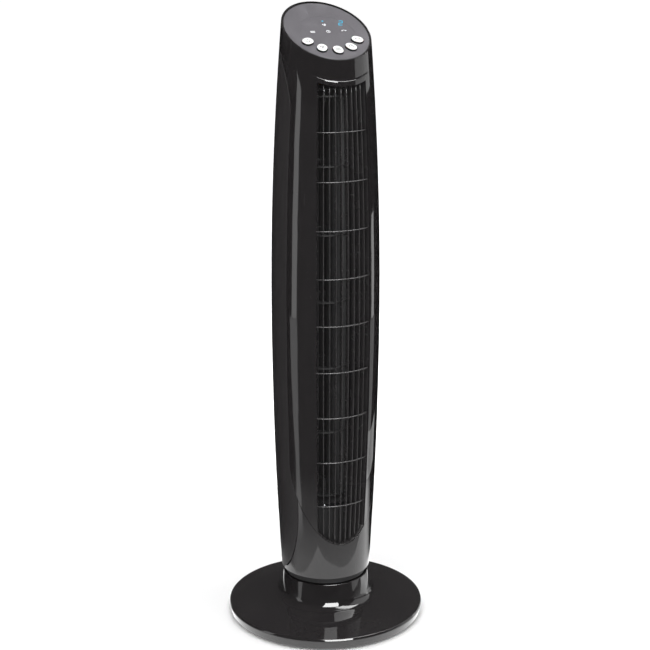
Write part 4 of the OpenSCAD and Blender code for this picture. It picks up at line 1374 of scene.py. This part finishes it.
class FAN_OT_buttons(FanOperator, bpy.types.Operator):
    """Adds the five crowned push buttons with their small grey symbols"""

    bl_idname = "fan.buttons"
    bl_label = "Push buttons"

    symbol_scale = 1.45 * MM
    flange_low, flange_high, flange_grow = -5.4 * MM, -4.5 * MM, 1.7 * MM
    stem_low, stem_r = -6.8 * MM, 2 * MM

    def execute(self, context):
        head = self.head
        names = ["power", "speed", "mode", "timer", "oscillate"]
        for i, name in enumerate(names):
            turn = head.arc_step * (i - 2)
            place = (panel_place() @ Matrix.Translation((0, head.arc_y, 0))
                     @ Matrix.Rotation(turn - math.pi / 2, 4, "Z")
                     @ Matrix.Translation((head.arc_r, 0, 0)))
            node = name + "_button"
            key = self.key(node + "_key", place)
            settle(key, node + "_body", button_finish(), [node])
            # Painted shade: the key's sides below the skirt drop take the dark inner finish,
            # standing in for the shade on them.
            key.data.materials.append(inner_finish())
            inward = place.inverted()
            for face in key.data.polygons:
                if (inward @ face.center).z < head.button_rise - head.painted_shade_skirt_drop:
                    face.material_index = 1
            upright = place @ Matrix.Rotation(math.pi / 2 - turn, 4, "Z")
            crown = Matrix.Translation((0, 0, head.button_rise - 0.02 * MM))
            mark = plates(node + "_symbol", scaled(SYMBOLS[name](), self.symbol_scale),
                          head.print_t, upright @ crown)
            settle(mark, node + "_body", grey_ink())
        return {"FINISHED"}

    def key(self, name, place):
        """A crowned key, as insets and heights, with a flange below the panel and a stem."""
        head = self.head
        rise = head.button_rise
        levels = [(0.0, self.flange_high - 0.1 * MM), (0.0, rise - 1.1 * MM),
                  (0.12 * MM, rise - 0.6 * MM),
                  (0.45 * MM, rise - 0.22 * MM), (1.0 * MM, rise - 0.04 * MM),
                  (1.8 * MM, rise), (4.0 * MM, rise - 0.02 * MM)]
        points, faces = [], []
        for inset, z in levels:
            outline = stadium(head.button_l - 2 * inset, head.button_w - 2 * inset)
            points += [place @ Vector((x, y, z)) for x, y in outline]
        size = len(outline)
        faces += grid_faces(len(levels), size, 0, closed=True)
        faces += end_faces(0, (len(levels) - 1) * size, size)
        grow = 2 * self.flange_grow
        outline = stadium(head.button_l + grow, head.button_w + grow)
        start = len(points)
        points += [place @ Vector((x, y, z)) for z in (self.flange_low, self.flange_high)
                   for x, y in outline]
        faces += grid_faces(2, size, start, closed=True)
        faces += end_faces(start, start + size, size)
        start = len(points)
        stem = disc(0, 0, self.stem_r)
        points += [place @ Vector((x, y, z))
                   for z in (self.stem_low, self.flange_low + 0.1 * MM) for x, y in stem]
        faces += grid_faces(2, len(stem), start, closed=True)
        faces += end_faces(start, start + len(stem), len(stem))
        return even_normals(weld(new_object(name, points, faces)))


def panel_place():
    """The slanted panel's frame: X right, Y upslope, Z away from the panel."""
    tower = bpy.context.scene.fan_tower
    return (Matrix.Translation((0, 0, tower.panel_z))
            @ Matrix.Rotation(tower.slope, 4, "X"))


SYMBOLS = {
    "power": lambda: [bow(0, 0, 2, 0.55, 120, 420), bar(0, 0.6, 0, 2.8, 0.55)],
    "speed": lambda: [bow(0, 0, 1.5, 0.9, a, a + 70) for a in (0, 120, 240)]
    + [disc(0, 0, 0.5)],
    "mode": lambda: [bar(-2.6, y, 2.6, y, 0.45) for y in (-1.2, 0, 1.2)],
    "timer": lambda: [bow(0, 0, 2, 0.5, 0, 350), bar(0, 0, 0, 1.4, 0.5),
                      bar(0, 0, 1.1, 0, 0.5)],
    "oscillate": lambda: [bow(0, -1.6, 2.8, 0.5, 30, 150),
                          [(2.0, 0.8), (3.2, -0.2), (1.6, -0.6)],
                          [(-2.0, 0.8), (-1.6, -0.6), (-3.2, -0.2)]],
}


class FAN_OT_panel_marks(FanOperator, bpy.types.Operator):
    """Adds the lit digit and dot and the white symbols on the panel film"""

    bl_idname = "fan.panel_marks"
    bl_label = "Panel marks"

    stroke = 1.4 * MM            # width of the digit's strokes
    lean = 0.30                  # how far the digit's top leans, as a share of its height
    dot_size = (2.6 * MM, 2.2 * MM)
    symbol_scale = 1.3 * MM
    digit_at, dot_at = (28, 14), (2.5, 20)
    marks_at = {"speed": (2, 11), "mode": (-21, -5), "timer": (2.4, -5.5),
                "oscillate": (26, -5)}

    def on_film(self, x, y):
        head = self.head
        return panel_place() @ Matrix.Translation((x * MM, y * MM, -head.film_drop))

    def execute(self, context):
        head = self.head
        w, h, t = head.digit_w / 2, head.digit_h / 2, self.stroke
        strokes = {
            "top": (-w, h, w, h), "upper_right": (w, h, w, 0), "middle": (-w, 0, w, 0),
            "lower_left": (-w, 0, -w, -h), "bottom": (-w, -h, w, -h),
        }
        two = [[(x + y * self.lean, y) for x, y in bar(*ends, t)]
               for ends in strokes.values()]
        digit = plates("display_digit", two, head.print_t, self.on_film(*self.digit_at))
        half, high = self.dot_size[0] / 2, self.dot_size[1]
        dot = plates("display_dot", [bar(-half, 0, half, 0, high)], head.print_t,
                     self.on_film(*self.dot_at))
        for lit in (digit, dot):
            settle(lit, "tower", lit_mark())
        for name, at in self.marks_at.items():
            mark = plates(name + "_mark", scaled(SYMBOLS[name](), self.symbol_scale),
                          head.print_t, self.on_film(*at))
            settle(mark, "tower", white_ink())
        return {"FINISHED"}


class FAN_OT_carried_parts(FanOperator, bpy.types.Operator):
    """Gives every part that keeps its own shape a finish with real detail"""

    bl_idname = "fan.carried_parts"
    bl_label = "Base, drive, motor and board parts"

    def finishes(self):
        return {
            inner_finish(): ["base_cover", "pivot_post", "turntable", "duct_scroll",
                             "duct_tongue", "duct_bottom_plate", "duct_top_plate",
                             "motor_bracket", "osc_bracket", "control_panel"],
            rubber_finish(): ["rubber_feet", "cord_gland", "motor_mounts"],
            weight_finish(): ["base_weight"],
            steel_finish(): ["base_screws", "pivot_screws", "retaining_clip", "shell_screws",
                             "osc_screws", "board_screws", "osc_motor", "motor_cap_lower",
                             "motor_cap_upper"],
            shaft_finish(): ["osc_shaft", "blower_shaft", "top_stub_shaft"],
            nylon_finish(): ["glide_ring", "fixed_gear", "osc_pinion"],
            bronze_finish(): ["top_bush"],
            stator_finish(): ["motor_stator", "motor_rotor"],
            copper_finish(): ["motor_windings"],
            board_finish(): ["power_board", "control_board"],
            cable_finish(): ["wiring_loom", "motor_capacitor"],
            display_finish(): ["led_display"],
            film_finish(): ["panel_overlay"],
            wheel_finish(): ["tact_switches", "ir_receiver"],
        }

    def execute(self, context):
        for finish, names in self.finishes().items():
            for name in names:
                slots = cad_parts[name].data.materials
                slots.clear()
                slots.append(finish)
        return {"FINISHED"}


# Panels that only the polished parts mirror: place, the point they face, width and height,
# watts, and roll in radians.
MIRRORED_PANELS = {
    "left_panel": ((-1.75, -0.03, 0.385), (0, -0.03, 0.385), (0.38, 0.86), 2.1, -0.19),
    "right_panel": ((1.75, 0.17, 0.15), (0, 0.17, 0.15), (0.26, 0.36), 0.60, 0.0),
    "low_right_panel": ((0.55, -0.10, 0.05), (0, 0, 0.05), (0.72, 0.1), 0.26, 0.0),
    "high_right_panel": ((2.2, -0.45, 1.6), (0, 0, 1.1), (2.4, 1.95), 20.0, 0.0),
    "top_right_panel": ((1.15, -0.65, 2.72), (0, 0, 0.05), (2.2, 0.9), 80.0, 0.0),
    "window_light": ((-0.55, -4.47, 3.3), (0, 0, 0.05), (2.9, 4.1), 800.0, 0.0),
}


class FAN_OT_stage(FanOperator, bpy.types.Operator):
    """Adds the pale floor, the soft studio light and the camera"""

    bl_idname = "fan.stage"
    bl_label = "Floor, light and camera"

    camera_at = (-0.8375, -2.0199, 1.063)
    sensor = 36.0
    white = (1, 1, 1, 1)
    fill_size = (1.6, 1.6)

    def execute(self, context):
        studio = context.scene.fan_studio
        self.camera(studio)
        self.floor(studio)
        self.room(studio)
        self.lights(studio)
        context.scene.view_settings.view_transform = "Standard"
        return {"FINISHED"}

    def camera(self, studio):
        data = bpy.data.cameras.new("camera")
        data.lens = studio.lens
        data.sensor_width = self.sensor
        camera = bpy.data.objects.new("camera", data)
        bpy.context.scene.collection.objects.link(camera)
        camera.location = self.camera_at
        camera.rotation_euler = (math.pi / 2 - studio.camera_tilt, 0, -studio.camera_turn)
        bpy.context.scene.camera = camera

    def floor(self, studio):
        """Pale floor that turns to even white away from the fan, and that the polished parts
        mirror as painted light: a glow with a painted pool of light and painted shadows."""
        near, far, near_white = 0.3, 1.1, 0.1
        half = studio.floor_size / 2
        floor = new_object("floor", [(-half, -half, 0), (half, -half, 0), (half, half, 0),
                                     (-half, half, 0)], [(0, 1, 2, 3)])
        finish = bpy.data.materials.new("Pale floor")
        finish.use_nodes = True
        tree = finish.node_tree
        tree.nodes.clear()
        place = own_place(tree)
        cloud = spread(tree, noise(tree, place, 3.0, 2.0), 0.3, 0.7, 0.0, 1.0)
        pale = add(tree, "BsdfDiffuse",
                   {"Color": tint(tree, cloud, (0.86, 0.86, 0.86), (0.88, 0.88, 0.88))})
        # Painted light: in reflections the floor glows with a painted pool of light and painted
        # shadows.
        painted_floor_glow = add(tree, "Emission", {"Color": self.white,
                                       "Strength": self.painted_floor_light(tree, place)})
        paths = add(tree, "LightPath")
        reach = add(tree, "VectorMath", {0: place}, operation="LENGTH").outputs["Value"]
        lit = add(tree, "Emission", {"Color": self.white,
                                     "Strength": spread(tree, reach, near, far, near_white, 1.0)})
        both = add(tree, "AddShader", {0: pale.outputs[0], 1: lit.outputs[0]})
        direct = add(tree, "MixShader", {0: paths.outputs["Is Camera Ray"],
                                         1: pale.outputs[0], 2: both.outputs[0]})
        mixed = add(tree, "MixShader", {0: paths.outputs["Is Glossy Ray"],
                                        1: direct.outputs[0], 2: painted_floor_glow.outputs[0]})
        tree.links.new(mixed.outputs[0], add(tree, "OutputMaterial").inputs["Surface"])
        floor.data.materials.append(finish)

    def painted_floor_light(self, tree, place):
        """Brightness of the floor as the polished parts mirror it, all painted light: a bright
        pool round the fan with two dimmer tongues of painted shadow, and a lane out to each side."""
        parts = add(tree, "SeparateXYZ", {0: place})
        reach = add(tree, "VectorMath", {0: place}, operation="LENGTH").outputs["Value"]
        x, y = parts.outputs["X"], parts.outputs["Y"]
        wide = maths(tree, "ABSOLUTE", x)
        ground, lane = self.ground(tree, x, y, reach), self.lane(tree, x, y, wide)
        return maths(tree, "ADD", ground, lane)

    def ground(self, tree, x, y, reach):
        """Painted pool of light with a straight left edge and a slanting front edge, painted
        shadow outside.
        """
        bright_near, bright_far, dim_near, dim_mid, dim_far = 2.1, 0.12, 1.3, 0.45, 0.25
        left_edge, front_edge, slant = (-0.199, -0.192), (-0.237, -0.231), -0.31
        behind_start, behind_end, hub_inner, hub_outer = 0.12, 0.0, 0.20, 0.24
        bright = spread(tree, reach, 0.5, 0.62, bright_near, bright_far)
        dim = spread(tree, reach, 0.24, 0.42, dim_near, dim_mid)
        dim = maths(tree, "MULTIPLY", dim, spread(tree, reach, 0.45, 0.6, 1.0, dim_far))
        ahead = maths(tree, "MULTIPLY_ADD", maths(tree, "MAXIMUM", x, 0.0), slant, y)
        box = maths(tree, "MULTIPLY", spread(tree, x, *left_edge),
                    spread(tree, ahead, *front_edge))
        ground = maths(tree, "MULTIPLY_ADD", box, maths(tree, "SUBTRACT", bright, dim), dim)
        seen = maths(tree, "MAXIMUM", spread(tree, y, behind_start, behind_end),
                     spread(tree, reach, hub_outer, hub_inner))
        return maths(tree, "MULTIPLY", ground, seen)

    def lane(self, tree, x, y, wide):
        """Painted lane of light that runs out to each side, brighter on the left, and widens
        outwards.
        """
        left_level, right_level = 1.3, 0.7
        widen_from, widen_front, widen_back = 0.7, 0.08, 0.36
        outer = maths(tree, "MAXIMUM", maths(tree, "SUBTRACT", wide, widen_from), 0.0)
        front = spread(tree, maths(tree, "MULTIPLY_ADD", outer, widen_front, y), -0.11, -0.09)
        edge = maths(tree, "MAXIMUM", maths(tree, "MULTIPLY_ADD", wide, widen_back, -0.24), 0.0)
        back = spread(tree, maths(tree, "SUBTRACT", y, edge), 0.02, -0.01)
        side = maths(tree, "MULTIPLY", spread(tree, wide, 0.30, 0.42),
                     spread(tree, wide, 1.76, 1.72))
        lane = maths(tree, "MULTIPLY", maths(tree, "MULTIPLY", front, back), side)
        return maths(tree, "MULTIPLY", lane,
                     spread(tree, x, -0.1, 0.1, left_level, right_level))

    def room(self, studio):
        """White to the camera, dim in reflections and as light."""
        world = bpy.data.worlds.new("studio")
        bpy.context.scene.world = world
        world.use_nodes = True
        tree = world.node_tree
        tree.nodes.clear()
        seen = add(tree, "LightPath").outputs["Is Camera Ray"]
        dim, white = (add(tree, "Background", {"Color": self.white, "Strength": strength})
                      for strength in (studio.room, 1.0))
        mixed = add(tree, "MixShader", {0: seen, 1: dim.outputs[0], 2: white.outputs[0]})
        tree.links.new(mixed.outputs[0], add(tree, "OutputWorld").inputs["Surface"])

    def lights(self, studio):
        """Soft fills that stay out of the reflections, then panels made to be mirrored."""
        low = (0, 0, 0.4)
        self.soft_light("overhead", (0.0, 0.0, 3.2), (0, 0, 0), (3.6, 3.6), studio.key)
        self.soft_light("left_fill", (-2.4, -1.8, 1.6), low, self.fill_size, studio.fill)
        self.soft_light("right_fill", (2.6, -1.4, 1.4), low, self.fill_size, studio.fill)
        for name, (place, target, size, power, roll) in MIRRORED_PANELS.items():
            panel = self.soft_light(name, place, target, size, power, mirrored=True)
            panel.rotation_euler.rotate_axis("Z", roll)

    def soft_light(self, name, place, target, size, power, mirrored=False):
        """An area light that is either mirrored or lights the plastics, never both."""
        data = bpy.data.lights.new(name, "AREA")
        data.shape = "RECTANGLE"
        data.size, data.size_y = size
        data.energy = power
        light = bpy.data.objects.new(name, data)
        bpy.context.scene.collection.objects.link(light)
        light.location = place
        aim = Vector(target) - Vector(place)
        light.rotation_euler = aim.to_track_quat("-Z", "Y").to_euler()
        light.visible_camera = False
        light.visible_glossy = mirrored
        light.visible_diffuse = not mirrored
        return light


class FAN_PT_tower_fan(bpy.types.Panel):
    """Lists the tower fan's pieces in the sidebar"""

    bl_label = "Tower fan"
    bl_idname = "FAN_PT_tower_fan"
    bl_space_type = "VIEW_3D"
    bl_region_type = "UI"
    bl_category = "Tower fan"

    def draw(self, context):
        for operator in OPERATORS:
            self.layout.operator(operator.bl_idname)


SETTINGS = {
    "fan_tower": TowerForm, "fan_grille": GrilleForm, "fan_base": BaseForm,
    "fan_head": HeadForm, "fan_finishes": Finishes, "fan_studio": Studio,
}
OPERATORS = (FAN_OT_stage, FAN_OT_base_dish, FAN_OT_chin_cover, FAN_OT_front_cover,
             FAN_OT_rear_shell, FAN_OT_grille, FAN_OT_blower, FAN_OT_buttons, FAN_OT_panel_marks,
             FAN_OT_carried_parts)


def register():
    for name, group in SETTINGS.items():
        bpy.utils.register_class(group)
        setattr(bpy.types.Scene, name, PointerProperty(type=group))
    for operator in OPERATORS:
        bpy.utils.register_class(operator)
    bpy.utils.register_class(FAN_PT_tower_fan)


def unregister():
    bpy.utils.unregister_class(FAN_PT_tower_fan)
    for operator in reversed(OPERATORS):
        bpy.utils.unregister_class(operator)
    for name, group in SETTINGS.items():
        delattr(bpy.types.Scene, name)
        bpy.utils.unregister_class(group)


def main():
    """Builds the fan's pieces and stage."""
    register()
    for operator in OPERATORS:
        family, name = operator.bl_idname.split(".")
        getattr(getattr(bpy.ops, family), name)()


if __name__ == "__main__":
    main()
